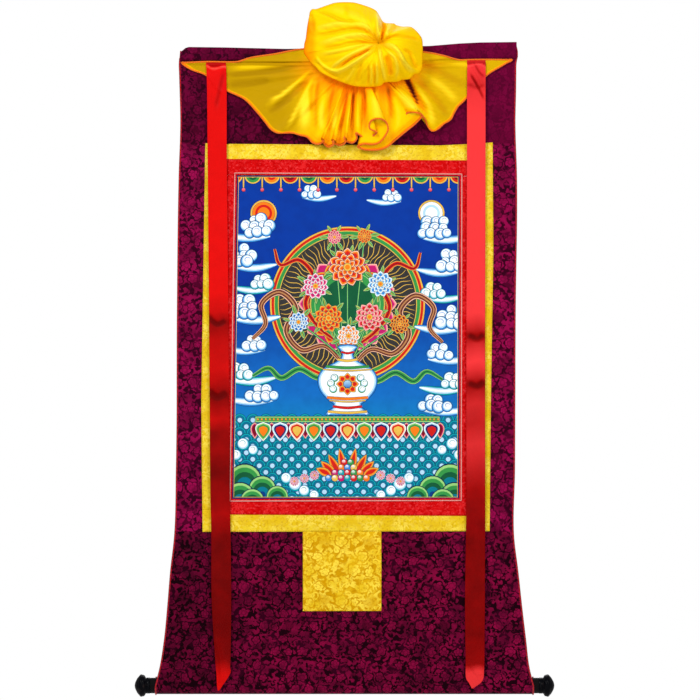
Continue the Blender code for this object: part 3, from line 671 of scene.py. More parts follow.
def grid_piece(name: str, points: np.ndarray, cloth: np.ndarray,
               round_and_round: bool = False) -> bpy.types.Object:
    """Make a cloth from rows of points, from the top down and from left to right.

    Args:
        name: The piece's name.
        points: Rows by columns of (across, stand-off, height) in millimetres.
        cloth: Rows by columns of the place on the flat cloth in metres.
        round_and_round: Whether the last column joins the first.

    Returns:
        The new object, smooth and facing out of the wall.
    """
    rows, columns = points.shape[:2]
    corners = np.arange(rows * columns).reshape(rows, columns)
    if round_and_round:
        corners = np.hstack([corners, corners[:, :1]])
        cloth = np.concatenate([cloth, cloth[:, :1]], axis=1)
    quads = np.stack(quarters(corners), axis=-1).reshape(-1, 4)
    spots = points.reshape(-1, 3) * (MM, -MM, MM)
    data = bpy.data.meshes.new(name)
    data.from_pydata(spots.tolist(), [], quads.tolist())
    layer = data.uv_layers.new(name="cloth")
    layer.data.foreach_set("uv", np.stack(quarters(cloth), axis=2).reshape(-1))
    data.shade_smooth()
    return placed(name, data)


@contextmanager
def opened(piece: bpy.types.Object) -> Iterator[bmesh.types.BMesh]:
    """Open a piece's mesh for changes and write it back after them."""
    mesh = bmesh.new()
    mesh.from_mesh(piece.data)
    yield mesh
    mesh.to_mesh(piece.data)
    mesh.free()


def thicken(piece: bpy.types.Object, thickness: float, front: bpy.types.Material,
            back: bpy.types.Material | None = None) -> None:
    """Give a cloth its thickness, its material and that of its reverse."""
    piece.data.materials.append(front)
    solid = piece.modifiers.new("thickness", "SOLIDIFY")
    solid.thickness = thickness * MM
    solid.offset = 0.0
    if back:
        piece.data.materials.append(back)
        solid.material_offset = 1


def give_attribute(piece: bpy.types.Object, name: str, values: np.ndarray) -> None:
    """Store a number at each point of a piece."""
    layer = piece.data.attributes.new(name, "FLOAT", "POINT")
    layer.data.foreach_set("value", np.asarray(values, np.float32).reshape(-1))


def tube_piece(name: str, points: np.ndarray, radius: float, sides: int = 8,
               closed: bool = False) -> bpy.types.Object:
    """Make a round cord through (across, stand-off, height) points in millimetres, capped unless closed."""
    path = points * (1.0, -1.0, 1.0)
    ahead = np.roll(path, -1, axis=0) - np.roll(path, 1, axis=0)
    if not closed:
        ahead[0], ahead[-1] = path[1] - path[0], path[-1] - path[-2]
    ahead /= np.linalg.norm(ahead, axis=1)[:, None]
    aside = np.zeros_like(path)
    aside[0] = np.cross(ahead[0], (0.0, -1.0, 0.02))
    for index in range(1, len(path)):
        aside[index] = aside[index - 1] - ahead[index] * np.dot(aside[index - 1], ahead[index])
    aside /= np.linalg.norm(aside, axis=1)[:, None]
    beside = np.cross(ahead, aside)
    turns = np.linspace(0.0, 2 * math.pi, sides, endpoint=False)
    ring = np.cos(turns)[None, :, None] * aside[:, None] + np.sin(turns)[None, :, None] * beside[:, None]
    spots = (path[:, None] + radius * ring).reshape(-1, 3) * MM
    steps = np.concatenate([[0.0], np.cumsum(np.linalg.norm(np.diff(path, axis=0), axis=1))]) * MM
    count = len(path)
    last = count if closed else count - 1
    faces, cloth = [], []
    for row in range(last):
        here, there = row * sides, (row + 1) % count * sides
        start = steps[row]
        end = steps[row + 1] if row + 1 < count else start + radius * MM
        for side in range(sides):
            other = (side + 1) % sides
            faces.append((here + side, here + other, there + other, there + side))
            low, high = (2 * math.pi * radius * MM * part / sides for part in (side, side + 1))
            cloth += [(low, start), (high, start), (high, end), (low, end)]
    if not closed:
        faces += [tuple(range(sides))[::-1], tuple(range((count - 1) * sides, count * sides))]
        cloth += [(0.0, 0.0)] * (2 * sides)
    data = bpy.data.meshes.new(name)
    data.from_pydata(spots.tolist(), [], faces)
    data.uv_layers.new(name="cloth").data.foreach_set("uv", np.array(cloth).reshape(-1))
    data.shade_smooth()
    return placed(name, data)


def turned_piece(name: str, profile: Rows, across: float, direction: float,
                 steps: int = 64) -> bpy.types.Object:
    """Make a turned piece on the roller's axis from (distance out, radius) rows in millimetres."""
    verts = [(across + direction * profile[0][0], -ROLLER_STAND, ROLLER_HEIGHT)]
    inner = profile[1:-1]
    for distance, radius in inner:
        for step in range(steps):
            turn = 2 * math.pi * step / steps
            verts.append((across + direction * distance, radius * math.cos(turn) - ROLLER_STAND,
                          radius * math.sin(turn) + ROLLER_HEIGHT))
    verts.append((across + direction * profile[-1][0], -ROLLER_STAND, ROLLER_HEIGHT))
    faces = []
    for step in range(steps):
        other = (step + 1) % steps
        faces.append((0, 1 + other, 1 + step))
        for ring in range(len(inner) - 1):
            here, there = 1 + ring * steps, 1 + (ring + 1) * steps
            faces.append((here + step, here + other, there + other, there + step))
        tail = 1 + (len(inner) - 1) * steps
        faces.append((len(verts) - 1, tail + step, tail + other))
    if direction < 0:
        faces = [face[::-1] for face in faces]
    data = bpy.data.meshes.new(name)
    data.from_pydata([tuple(part * MM for part in vert) for vert in verts], [], faces)
    data.shade_smooth()
    return placed(name, data)


def hand_over(piece: bpy.types.Object, slot: str, *nodes: str) -> None:
    """Attach a finished piece to its body, hide the nodes that it stands for and log its faces."""
    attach(piece, BODY)
    if nodes:
        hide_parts(*nodes)
    LOG.info("%s: %d faces", piece.name, len(piece.data.polygons))


def read_rows(rows: Rows, key: int, column: int, at: np.ndarray, smooth: bool = False) -> np.ndarray:
    """Read one column of a table by another, on straight lines or a smooth curve."""
    ordered = sorted(rows, key=lambda row: row[key])
    keys, values = [row[key] for row in ordered], [row[column] for row in ordered]
    return read_smooth(keys, values, at) if smooth else np.interp(at, keys, values)


def level(rows: Rows, shift: float = 0.0) -> Line:
    """Return the height of a nearly level line, from (across, height) rows."""
    return lambda across: read_rows(rows, 0, 1, across) + shift


def upright(rows: Rows, shift: float = 0.0) -> Line:
    """Return the place across of a nearly upright line, from (height, across) rows."""
    return lambda height: read_rows(rows, 0, 1, height) + shift


def flat(value: float) -> Line:
    """Return a line that keeps one value."""
    return lambda at: np.zeros_like(at) + value


def moved(line: Line, step: float) -> Line:
    """Return a line moved by a step."""
    return lambda at: line(at) + step


def edged_shares(length: float, pitch: float, hem: float = 1.2) -> np.ndarray:
    """Return shares of a length at an even pitch, with closer ones by both ends for a soft edge."""
    inner = np.linspace(3 * hem, length - 3 * hem, max(2, round(length / pitch)))
    return np.concatenate([[0.0, hem], inner, [length - hem, length]]) / length


@dataclass(frozen=True)
class Stitching:
    """A row of sewn thread that a geometry node tree lays along a seam.

    Args:
        pitch: The step from stitch to stitch, in millimetres.
        size: A stitch's half width, half height and half length, in millimetres.
        ring: The radius of an overcast stitch round a hem, in millimetres, or nought for a running stitch.
        seed: The number that sets how uneven the stitches are.
    """

    pitch: float
    size: tuple[float, float, float]
    ring: float = 0.0
    seed: int = 11

    def tree(self, name: str, thread: bpy.types.Material) -> tuple[bpy.types.NodeTree, str, str]:
        """Return the tree and the identifiers of its pitch and size inputs."""
        tree = bpy.data.node_groups.new(name, "GeometryNodeTree")
        tree.interface.new_socket("Seam", in_out="INPUT", socket_type="NodeSocketGeometry")
        pitch = tree.interface.new_socket("Pitch", in_out="INPUT", socket_type="NodeSocketFloat")
        size = tree.interface.new_socket("Size", in_out="INPUT", socket_type="NodeSocketVector")
        tree.interface.new_socket("Stitches", in_out="OUTPUT", socket_type="NodeSocketGeometry")
        start, end, curve, points, place, real, smooth, dress, uneven, scaled = (
            tree.nodes.new(kind) for kind in (
                "NodeGroupInput", "NodeGroupOutput", "GeometryNodeMeshToCurve", "GeometryNodeCurveToPoints",
                "GeometryNodeInstanceOnPoints", "GeometryNodeRealizeInstances", "GeometryNodeSetShadeSmooth",
                "GeometryNodeSetMaterial", "FunctionNodeRandomValue", "ShaderNodeVectorMath"))
        points.mode = "LENGTH"
        uneven.data_type = "FLOAT_VECTOR"
        uneven.inputs["Min"].default_value = (0.85, 0.85, 0.8)
        uneven.inputs["Max"].default_value = (1.15, 1.15, 1.1)
        uneven.inputs["Seed"].default_value = self.seed
        scaled.operation = "MULTIPLY"
        dress.inputs["Material"].default_value = thread
        for source, target in (
                (start.outputs["Seam"], curve.inputs["Mesh"]),
                (curve.outputs["Curve"], points.inputs["Curve"]),
                (start.outputs["Pitch"], points.inputs["Length"]),
                (points.outputs["Points"], place.inputs["Points"]),
                (points.outputs["Rotation"], place.inputs["Rotation"]),
                (start.outputs["Size"], scaled.inputs[0]),
                (uneven.outputs["Value"], scaled.inputs[1]),
                (scaled.outputs["Vector"], place.inputs["Scale"]),
                (self.stitch(tree), place.inputs["Instance"]),
                (place.outputs[0], real.inputs[0]),
                (real.outputs[0], smooth.inputs[0]),
                (smooth.outputs[0], dress.inputs[0]),
                (dress.outputs[0], end.inputs["Stitches"])):
            tree.links.new(source, target)
        return tree, pitch.identifier, size.identifier

    def stitch(self, tree: bpy.types.NodeTree) -> bpy.types.NodeSocket:
        """Return the socket that gives one stitch's shape: a bead of thread or a ring of it."""
        if not self.ring:
            bead = tree.nodes.new("GeometryNodeMeshUVSphere")
            bead.inputs["Segments"].default_value = 6
            bead.inputs["Rings"].default_value = 5
            return bead.outputs["Mesh"]
        loop, strand = (tree.nodes.new("GeometryNodeCurvePrimitiveCircle") for _ in range(2))
        around = tree.nodes.new("GeometryNodeCurveToMesh")
        for circle, sides, radius in ((loop, 10, self.ring), (strand, 4, self.size[0])):
            circle.inputs["Resolution"].default_value = sides
            circle.inputs["Radius"].default_value = radius
        tree.links.new(loop.outputs["Curve"], around.inputs["Curve"])
        tree.links.new(strand.outputs["Curve"], around.inputs["Profile Curve"])
        return around.outputs["Mesh"]

    def sew(self, name: str, path: np.ndarray, thread: bpy.types.Material,
            closed: bool = False) -> bpy.types.Object:
        """Return the stitches along a path of (across, stand, height) in millimetres."""
        spots = np.column_stack([path[:, 0], -path[:, 1], path[:, 2]]) * MM
        edges = [(number, number + 1) for number in range(len(spots) - 1)]
        edges += [(len(spots) - 1, 0)] if closed else []
        seam = bpy.data.meshes.new(name + "_seam")
        seam.from_pydata([tuple(spot) for spot in spots], edges, [])
        piece = placed(name, seam)
        tree, pitch, size = self.tree(name, thread)
        modifier = piece.modifiers.new("stitches", "NODES")
        modifier.node_group = tree
        modifier[pitch] = self.pitch * MM
        modifier[size] = (MM, MM, MM) if self.ring else tuple(side * MM for side in self.size)
        evaluated = piece.evaluated_get(bpy.context.evaluated_depsgraph_get())
        stitches = bpy.data.meshes.new_from_object(evaluated)
        piece.modifiers.remove(modifier)
        piece.data = stitches
        bpy.data.meshes.remove(seam)
        return piece


@dataclass
class Hanging:
    """The surface that the cloths hang in, and the lines that they are cut to, all in millimetres."""

    hang: Rows = (
        (8, 6, 0), (-34, 6, 0), (-120, 7.5, 0.002), (-260, 13, 0.004), (-450, 23, -0.002), (-650, 35, 0.003),
        (-820, 46, -0.004), (-960, 53, 0.002), (-1080, 50.5, -0.003), (-1190, 42.5, 0.001),
        (ROLLER_HEIGHT, ROLLER_STAND + SLEEVE_RADIUS, 0),
    )
    outline: Rows = (
        (8, -332, 340), (-20, -333.5, 345), (-34, -335, 342), (-60, -334.4, 341.2), (-92, -333.4, 340.8),
        (-150, -332, 339.4), (-260, -335, 342.2), (-550, -338, 339), (-850, -339, 337), (-990, -343, 335.4),
        (-1050, -350, 343), (-1120, -356, 350.8), (-1190, -363, 359.2), (-1250, -373, 367),
        (-1284, -382, 376),
    )
    ripple_rise: float = 1.1
    ripple_length: float = 142.0
    ripple_top: float = -500.0
    ripple_foot: float = -1100.0
    creases: tuple[Crease, ...] = (
        Crease(((-300, -1000), (-318, -1090), (-348, -1180), (-372, -1262)), 60, 2.6),
        Crease(((-240, -1120), (-262, -1190), (-290, -1255)), 46, 1.6),
        Crease(((296, -1010), (312, -1100), (336, -1190), (356, -1262)), 54, 2.4),
        Crease(((-120, -1010), (-134, -1120), (-140, -1240)), 70, -1.3),
        Crease(((60, -1150), (20, -1200), (-60, -1232)), 40, 1.1),
        Crease(((170, -1040), (160, -1130), (176, -1230)), 66, 1.3),
    )

    def stand(self, across: np.ndarray, height: np.ndarray) -> np.ndarray:
        """Return how far the ground cloth stands from the wall."""
        share = np.clip((height - self.ripple_foot) / (self.ripple_top - self.ripple_foot), 0.0, 1.0)
        waves = np.sin(2 * math.pi * height / self.ripple_length)
        ripple = self.ripple_rise * np.sin(math.pi * share) * waves
        tilt = read_rows(self.hang, 0, 2, height, True) * across
        hung = read_rows(self.hang, 0, 1, height, True)
        free = ease((-60.0 - height) / 80.0) * ease((height - ROLLER_HEIGHT) / 40.0)
        broad = 0.7 * np.sin(across / 61.0 + 1.3) * np.sin(height / 173.0 + 0.4)
        broad += 0.4 * np.sin(across / 27.0 + height / 90.0) + 0.3 * np.sin(height / 41.0 - across / 130.0)
        return hung + ripple + tilt + free * (broad + creased(self.creases, across, height))

    def edge(self, side: str, inset: float) -> Line:
        """Return one side of the whole hanging, drawn in by an inset."""
        column, step = (1, inset) if side == "left" else (2, -inset)
        return lambda height: read_rows(self.outline, 0, column, height, True) + step

    def spots(self, left: Line, right: Line, top: Line, foot: Line,
              pitch: float) -> tuple[np.ndarray, np.ndarray]:
        """Return the places across and heights of the points of a piece that lies between four lines."""
        start = np.zeros(1)
        tall = float(top(start)[0] - foot(start)[0])
        middle = np.array([(top(start)[0] + foot(start)[0]) / 2])
        wide = float(right(middle)[0] - left(middle)[0])
        over, down = np.meshgrid(edged_shares(wide, pitch), edged_shares(tall, pitch))
        across = mix(left(middle), right(middle), over)
        height = mix(top(across), foot(across), down)
        for _ in range(3):
            across = mix(left(height), right(height), over)
            height = mix(top(across), foot(across), down)
        return across, height

    def lay(self, name: str, left: Line, right: Line, top: Line, foot: Line, layer: float, pitch: float = 6.0,
            tuck: float = 0.0, dip: Line | None = None) -> bpy.types.Object:
        """Make a cloth that lies on the ground cloth.

        Args:
            name: The piece's name.
            left: Its left edge by height.
            right: Its right edge by height.
            top: Its top edge by place across.
            foot: Its foot by place across.
            layer: How far it lies in front of the ground cloth.
            pitch: The distance between its points.
            tuck: How far its turned edges roll back.
            dip: How far it goes back, by height, where an allowance is pressed behind.

        Returns:
            The cloth, without thickness or finish.
        """
        across, height = self.spots(left, right, top, foot, pitch)
        stand = self.stand(across, height) + layer
        if tuck:
            near = np.minimum(np.abs(across - left(height)), np.abs(right(height) - across))
            near = np.minimum(near, np.minimum(np.abs(top(across) - height), np.abs(height - foot(across))))
            stand -= tuck * (1.0 - ease(near / 2.6))
            pucker = 0.25 * ease(near / 2.0) * np.sin(across / 7.0 + height / 9.0)
            stand += pucker * (1.0 - ease((near - 4.0) / 9.0))
        if dip:
            stand -= dip(height)
        cloth = np.stack([across, height], axis=-1) * MM
        return grid_piece(name, np.stack([across, stand, height], axis=-1), cloth)


@dataclass
class GroundCloth:
    """The burgundy brocade: top panel and heading, side panels, and the panel round the roller."""

    hanging: Hanging
    inset: float = -0.4
    heading_depth: float = 10.0
    heading_stand: float = 6.0
    heading_top: Rows = (
        (-333, -17), (-326, -8), (-318, -4), (-240, -5), (-120, -8), (40, -4), (168, -2), (228, 3), (268, 5),
        (345, 6),
    )
    heading_foot: Rows = ((-340, -32.5), (346, -27.5))
    # The upper brocade takes painted light towards its right.
    dark: BrocadeFinish = BrocadeFinish(
        "upper brocade", linear(46, 0, 20), linear(68, 0, 29), linear(112, 2, 52), linear(86, 0, 38),
        strength=0.8, repeat=(5.0, 7.0), fading=0.6, dawn=1.0)
    vivid: BrocadeFinish = BrocadeFinish(
        "side brocade", linear(50, 0, 23), linear(76, 1, 35), linear(150, 7, 72), linear(112, 4, 52),
        repeat=(5.0, 7.0), fading=0.5)
    # Painted shade: the bottom panel's brocade is the ground cloth in darker colours, darkest on the left.
    deep: BrocadeFinish = BrocadeFinish(
        "lower brocade", linear(28, 0, 11), linear(50, 0, 23), linear(136, 7, 58), linear(94, 4, 41),
        repeat=(6.0, 7.0), fading=0.5, dusk=0.9)
    reverse: LiningFinish = LiningFinish("brocade reverse", linear(58, 14, 36), linear(96, 26, 58))

    def build(self) -> None:
        """Make, dress and hand over every ground piece."""
        left = self.hanging.edge("left", self.inset)
        right = self.hanging.edge("right", self.inset)
        reverse = self.reverse.material()
        vivid, dark, deep = (finish.material() for finish in (self.vivid, self.dark, self.deep))
        top = self.hanging.lay("top_panel_cloth", left, right, level(self.heading_foot, 6.0),
                               flat(SIDE_SEAM - LAP), 0.0, dip=self.behind)
        thicken(top, BROCADE, dark, reverse)
        heading = self.heading(left, right, dark)
        hand_over(heading, "ground_brocade", "top_panel")
        hand_over(top, "ground_brocade", "top_panel")
        inner = {"left": upright(FRAME_LEFT, LAP), "right": upright(FRAME_RIGHT, -LAP)}
        for side in ("left", "right"):
            edges = (left, inner["left"]) if side == "left" else (inner["right"], right)
            panel = self.hanging.lay(side + "_panel_cloth", *edges, flat(SIDE_SEAM), flat(FRAME_FOOT), 0.0)
            thicken(panel, BROCADE, vivid, reverse)
            hand_over(panel, "ground_brocade", side + "_panel")
        bottom = self.sleeved(left, right)
        # The bottom panel takes the darker brocade, whose colours carry painted shade.
        thicken(bottom, BROCADE, deep, reverse)
        hand_over(bottom, "ground_brocade", "bottom_panel")

    @staticmethod
    def behind(height: np.ndarray) -> np.ndarray:
        """Return how far back the seam allowance under the side seam is pressed."""
        return (LAYER + GAP) * ease((SIDE_SEAM + 0.6 - height) / 1.5)

    def heading(self, left: Line, right: Line, cloth: bpy.types.Material) -> bpy.types.Object:
        """Make the stiff heading, where the cloth is folded over on itself and sewn down."""
        shares = edged_shares(676.0, 7.0)
        turns = np.linspace(0.0, 2 * math.pi, 28, endpoint=False)
        across = mix(left(np.zeros(1)), right(np.zeros(1)), shares)
        crown, foot = level(self.heading_top)(across), level(self.heading_foot)(across)
        middle, half = (crown + foot) / 2, (crown - foot) / 2
        flatness = np.sign(np.sin(turns)) * np.abs(np.sin(turns)) ** 0.45
        bulge = np.sign(np.cos(turns)) * np.abs(np.cos(turns)) ** 0.55
        end = ease(np.minimum(shares, 1.0 - shares) * 90.0) * 0.35 + 0.65
        height = middle[None, :] + half[None, :] * flatness[:, None]
        stand = self.heading_stand + self.heading_depth / 2 * bulge[:, None] * end[None, :]
        stand += 0.5 * np.sin(across / 37.0)[None, :] * np.clip(bulge, 0.0, 1.0)[:, None]
        points = np.stack([np.broadcast_to(across, height.shape), stand, height], axis=-1)
        points = np.concatenate([points, points[:1]])[::-1]
        steps = np.linalg.norm(np.diff(points[:, len(shares) // 2, 1:], axis=0), axis=-1)
        run = -np.concatenate([[0.0], np.cumsum(steps)]) * MM
        along = np.broadcast_to(run[:, None], points.shape[:2])
        cloth_place = np.stack([points[:, :, 0] * MM, along], axis=-1)
        piece = grid_piece("heading_cloth", points, cloth_place)
        close_ends(piece)
        piece.data.materials.append(cloth)
        return piece

    def sleeved(self, left: Line, right: Line) -> bpy.types.Object:
        """Make the bottom panel, which runs down the front, round the roller and up its own back."""
        across, height = self.hanging.spots(left, right, flat(FRAME_FOOT + LAP), flat(ROLLER_HEIGHT), 6.0)
        stand = self.hanging.stand(across, height)
        stand -= (LAYER + GAP) * ease((height - FRAME_FOOT + 0.6) / 1.5)
        rows = [np.stack([across, stand, height], axis=-1)]
        shares = (across[-1] - across[-1, 0]) / (across[-1, -1] - across[-1, 0])
        for step in range(1, 46):
            turn = math.radians(6.0 * step)
            reach = ROLLER_HEIGHT - SLEEVE_RADIUS * math.sin(turn)
            width = self.drawn(left, right, shares, reach)
            rows.append(self.row(width, ROLLER_STAND + SLEEVE_RADIUS * math.cos(turn), reach))
        for rise in (25.0, 31.0, 38.0):
            reach = ROLLER_HEIGHT + rise
            width = self.drawn(left, right, shares, reach)
            clear = self.hanging.stand(width, np.full_like(width, reach)) - LAYER - 2 * GAP
            rows.append(self.row(width, clear, reach))
        points = np.concatenate(rows)
        steps = np.linalg.norm(np.diff(points[:, :, 1:], axis=0), axis=-1)
        run = -np.concatenate([np.zeros((1, steps.shape[1])), np.cumsum(steps, axis=0)]) + FRAME_FOOT
        return grid_piece("bottom_panel_cloth", points, np.stack([points[:, :, 0], run], axis=-1) * MM)

    @staticmethod
    def drawn(left: Line, right: Line, shares: np.ndarray, height: float) -> np.ndarray:
        """Return the points across the sleeve, which follow the hanging's sides above the roller."""
        level_height = np.array([max(height, ROLLER_HEIGHT)])
        return mix(left(level_height), right(level_height), shares)

    @staticmethod
    def row(across: np.ndarray, stand: object, height: float) -> np.ndarray:
        """Return one more row of points at a stand-off and height."""
        return np.stack([across, np.zeros_like(across) + stand, np.full_like(across, height)], axis=-1)[None]


def close_ends(piece: bpy.types.Object) -> None:
    """Merge a tube's seam and fill its two open ends."""
    with opened(piece) as mesh:
        bmesh.ops.remove_doubles(mesh, verts=mesh.verts, dist=0.01 * MM)
        bmesh.ops.holes_fill(mesh, edges=[edge for edge in mesh.edges if edge.is_boundary], sides=0)
        bmesh.ops.recalc_face_normals(mesh, faces=mesh.faces)
    piece.data.shade_smooth()


@dataclass
class Mount:
    """The yellow and red brocade frames round the painting, the cord beside it and the patch under them."""

    hanging: Hanging
    yellow_top: Rows = ((-282, -197.5), (-240, -198.8), (188, -202), (240, -199.6), (294, -196))
    yellow_foot: Rows = ((-287, -974.6), (287, -973.2))
    red_top: Rows = ((-250, -229.2), (262, -232.2))
    red_foot: Rows = ((-256, -939.8), (256, -942.6))
    red_left: Rows = ((-228, -250), (-712, -257), (-944, -255))
    red_right: Rows = ((-228, 262), (-712, 258), (-944, 254.6))
    art_top: Rows = ((-219, -261.4), (228, -263.6))
    art_foot: Rows = ((-228, -909.2), (226, -908))
    patch_left: float = -86.0
    patch_right: float = 70.6
    patch_drop: float = 159.0
    tuck: float = 0.55
    stitch_inset: float = 1.8
    piping_margin: float = 4.0
    piping_radius: float = 1.0
    yellow: BrocadeFinish = BrocadeFinish(
        "yellow brocade", linear(226, 188, 26), linear(232, 200, 40), linear(250, 226, 92),
        linear(218, 176, 22), motif=0.021, repeat=(4.0, 4.0), strength=0.7, curls=1.0, roughness=0.46,
        flecks=linear(184, 134, 14))
    gold: BrocadeFinish = BrocadeFinish(
        "gold brocade", linear(208, 152, 4), linear(222, 172, 16), linear(252, 222, 70), linear(234, 194, 34),
        motif=0.030, repeat=(3.0, 3.0), curls=1.0, roughness=0.44, flecks=linear(178, 118, 0))
    red: BrocadeFinish = BrocadeFinish(
        "red brocade", linear(188, 0, 2), linear(196, 1, 4), linear(228, 42, 44), linear(204, 10, 12),
        motif=0.017, repeat=(5.0, 4.0), strength=0.75, curls=0.9, roughness=0.44, flecks=linear(238, 70, 74))
    reverse: LiningFinish = LiningFinish("frame reverse", linear(186, 158, 96), linear(212, 188, 128))
    running: Stitching = Stitching(4.6, (0.42, 0.42, 1.6))
    yellow_thread: ThreadFinish = ThreadFinish("yellow thread", linear(206, 164, 30), linear(176, 132, 18))
    red_thread: ThreadFinish = ThreadFinish("red thread", linear(168, 4, 8), linear(132, 0, 4))
    pink: CordFinish = CordFinish("piping cord", linear(240, 178, 168), linear(206, 120, 112))

    def build(self) -> None:
        """Make, dress and hand over the frames, the cord and the patch."""
        yellow = [upright(FRAME_LEFT), upright(FRAME_RIGHT), level(self.yellow_top),
                  level(self.yellow_foot)]
        red = [upright(self.red_left), upright(self.red_right), level(self.red_top), level(self.red_foot)]
        art = [upright(ART_LEFT), upright(ART_RIGHT), level(self.art_top), level(self.art_foot)]
        reverse = self.reverse.material()
        self.strips("yellow_frame", "yellow_brocade", yellow, red, LAP, LAYER, self.yellow.material(),
                    reverse, self.yellow_thread.material())
        self.strips("red_frame", "red_brocade", red, art, 0.0, 2 * LAYER, self.red.material(), reverse,
                    self.red_thread.material())
        patch = self.hanging.lay("door_patch_cloth", flat(self.patch_left), flat(self.patch_right),
                                 level(self.yellow_foot, -GAP),
                                 level(self.yellow_foot, -self.patch_drop), LAYER, 4.0, self.tuck)
        thicken(patch, BROCADE, self.gold.material(), reverse)
        hand_over(patch, "yellow_brocade", "door_patch")
        self.piping()

    def strips(self, word: str, slot: str, outer: list[Line], inner: list[Line], lap: float, layer: float,
               cloth: bpy.types.Material, reverse: bpy.types.Material, thread: bpy.types.Material) -> None:
        """Make the four strips of one frame: level ones across the full width, upright ones between."""
        left, right, top, foot = outer
        left_in, right_in, top_in, foot_in = map(moved, inner, (lap, -lap, -lap, lap))
        below, above = moved(top_in, -GAP), moved(foot_in, GAP)
        lines = {"top": (left, right, top, top_in), "foot": (left, right, foot_in, foot),
                 "left": (left, left_in, below, above), "right": (right_in, right, below, above)}
        for place, (low, high, up, down) in lines.items():
            strip = self.hanging.lay(f"{word}_{place}_cloth", low, high, up, down, layer, 5.0, self.tuck)
            start = np.zeros(1)
            middle = (up(start) + down(start)) / 2
            size = (float(high(middle)[0] - low(middle)[0]) * MM, float(up(start)[0] - down(start)[0]) * MM)
            thicken(strip, BROCADE, cloth, reverse)
            hand_over(strip, slot, f"{word}_{place}")
            run = self.seam(place, (low, high, up, down), layer)
            stitches = self.running.sew(f"{word}_{place}_stitches", run, thread)
            hand_over(stitches, slot, f"{word}_{place}")

    def seam(self, place: str, edges: tuple[Line, Line, Line, Line], layer: float) -> np.ndarray:
        """Return the path just inside a strip's outer edge, on its face."""
        low, high, up, down = edges
        share = np.linspace(0.01, 0.99, 90)
        if place in ("top", "foot"):
            start = up(np.zeros(1))
            across = mix(low(start), high(start), share)
            height = up(across) - self.stitch_inset if place == "top" else down(across) + self.stitch_inset
        else:
            height = mix(down(low(np.zeros(1))), up(low(np.zeros(1))), share)
            across = low(height) + self.stitch_inset if place == "left" else high(height) - self.stitch_inset
        stand = self.hanging.stand(across, height) + layer + BROCADE / 2 - 0.1
        return np.column_stack([across, stand, height])

    def piping(self) -> None:
        """Make the pale cord that is sewn round the painting."""
        left, right = upright(ART_LEFT, -self.piping_margin), upright(ART_RIGHT, self.piping_margin)
        top, foot = level(self.art_top, self.piping_margin), level(self.art_foot, -self.piping_margin)
        high, low = np.full(1, -262.0), np.full(1, -909.0)
        down = np.linspace(float(top(left(high))[0]), float(foot(left(low))[0]), 110)
        back = np.linspace(float(foot(right(low))[0]), float(top(right(high))[0]), 110)
        over = np.linspace(left(low)[0], right(low)[0], 60)[1:-1]
        home = np.linspace(right(high)[0], left(high)[0], 60)[1:-1]
        across = np.concatenate([left(down), over, right(back), home])
        height = np.concatenate([down, foot(over), back, top(home)])
        stand = self.hanging.stand(across, height) + 2 * LAYER + BROCADE / 2 + self.piping_radius
        path = np.column_stack([across, stand, height])
        cord = tube_piece("painting_piping_cord", path, self.piping_radius, closed=True)
        cord.data.materials.append(self.pink.material())
        hand_over(cord, "piping_cord", "painting_piping")


class Paint(Enum):
    """The mineral colours of the painting, each as linear red, green and blue."""

    ROYAL = linear(0, 52, 150)
    SKY = linear(14, 104, 186)
    TEAL = linear(0, 158, 168)
    SEA = linear(0, 118, 140)
    DEEP = linear(6, 58, 128)
    LINE = linear(10, 26, 70)
    WHITE = linear(244, 248, 250)
    PALE = linear(176, 216, 238)
    BELLY = linear(48, 132, 206)
    GREEN = linear(52, 146, 70)
    MOSS = linear(16, 88, 54)
    LEAF = linear(150, 206, 120)
    ORANGE = linear(240, 122, 22)
    RED = linear(204, 30, 22)
    WINE = linear(120, 14, 26)
    PINK = linear(238, 124, 150)
    PEACH = linear(250, 196, 158)
    GOLD = linear(226, 182, 76)
    TAN = linear(184, 128, 80)
    BROWN = linear(104, 48, 40)
    CHARCOAL = linear(52, 50, 50)
    NAVY = linear(18, 30, 92)
    MAGENTA = linear(190, 24, 104)


def turned_about(points: np.ndarray, across: float, height: float, turn: float) -> np.ndarray:
    """Return points turned by an angle in radians and moved to a place."""
    cosine, sine = math.cos(turn), math.sin(turn)
    return points @ np.array(((cosine, sine), (-sine, cosine))) + (across, height)


def drawn_in(points: np.ndarray, distance: float) -> np.ndarray:
    """Return a closed outline drawn in by a distance all round."""
    ahead = np.roll(points, -1, axis=0) - np.roll(points, 1, axis=0)
    ahead /= np.maximum(np.linalg.norm(ahead, axis=1), 1e-9)[:, None]
    following = np.roll(points, -1, axis=0)
    area = np.sum(points[:, 0] * following[:, 1] - following[:, 0] * points[:, 1])
    inward = np.column_stack([-ahead[:, 1], ahead[:, 0]]) * np.sign(area)
    return points + inward * distance


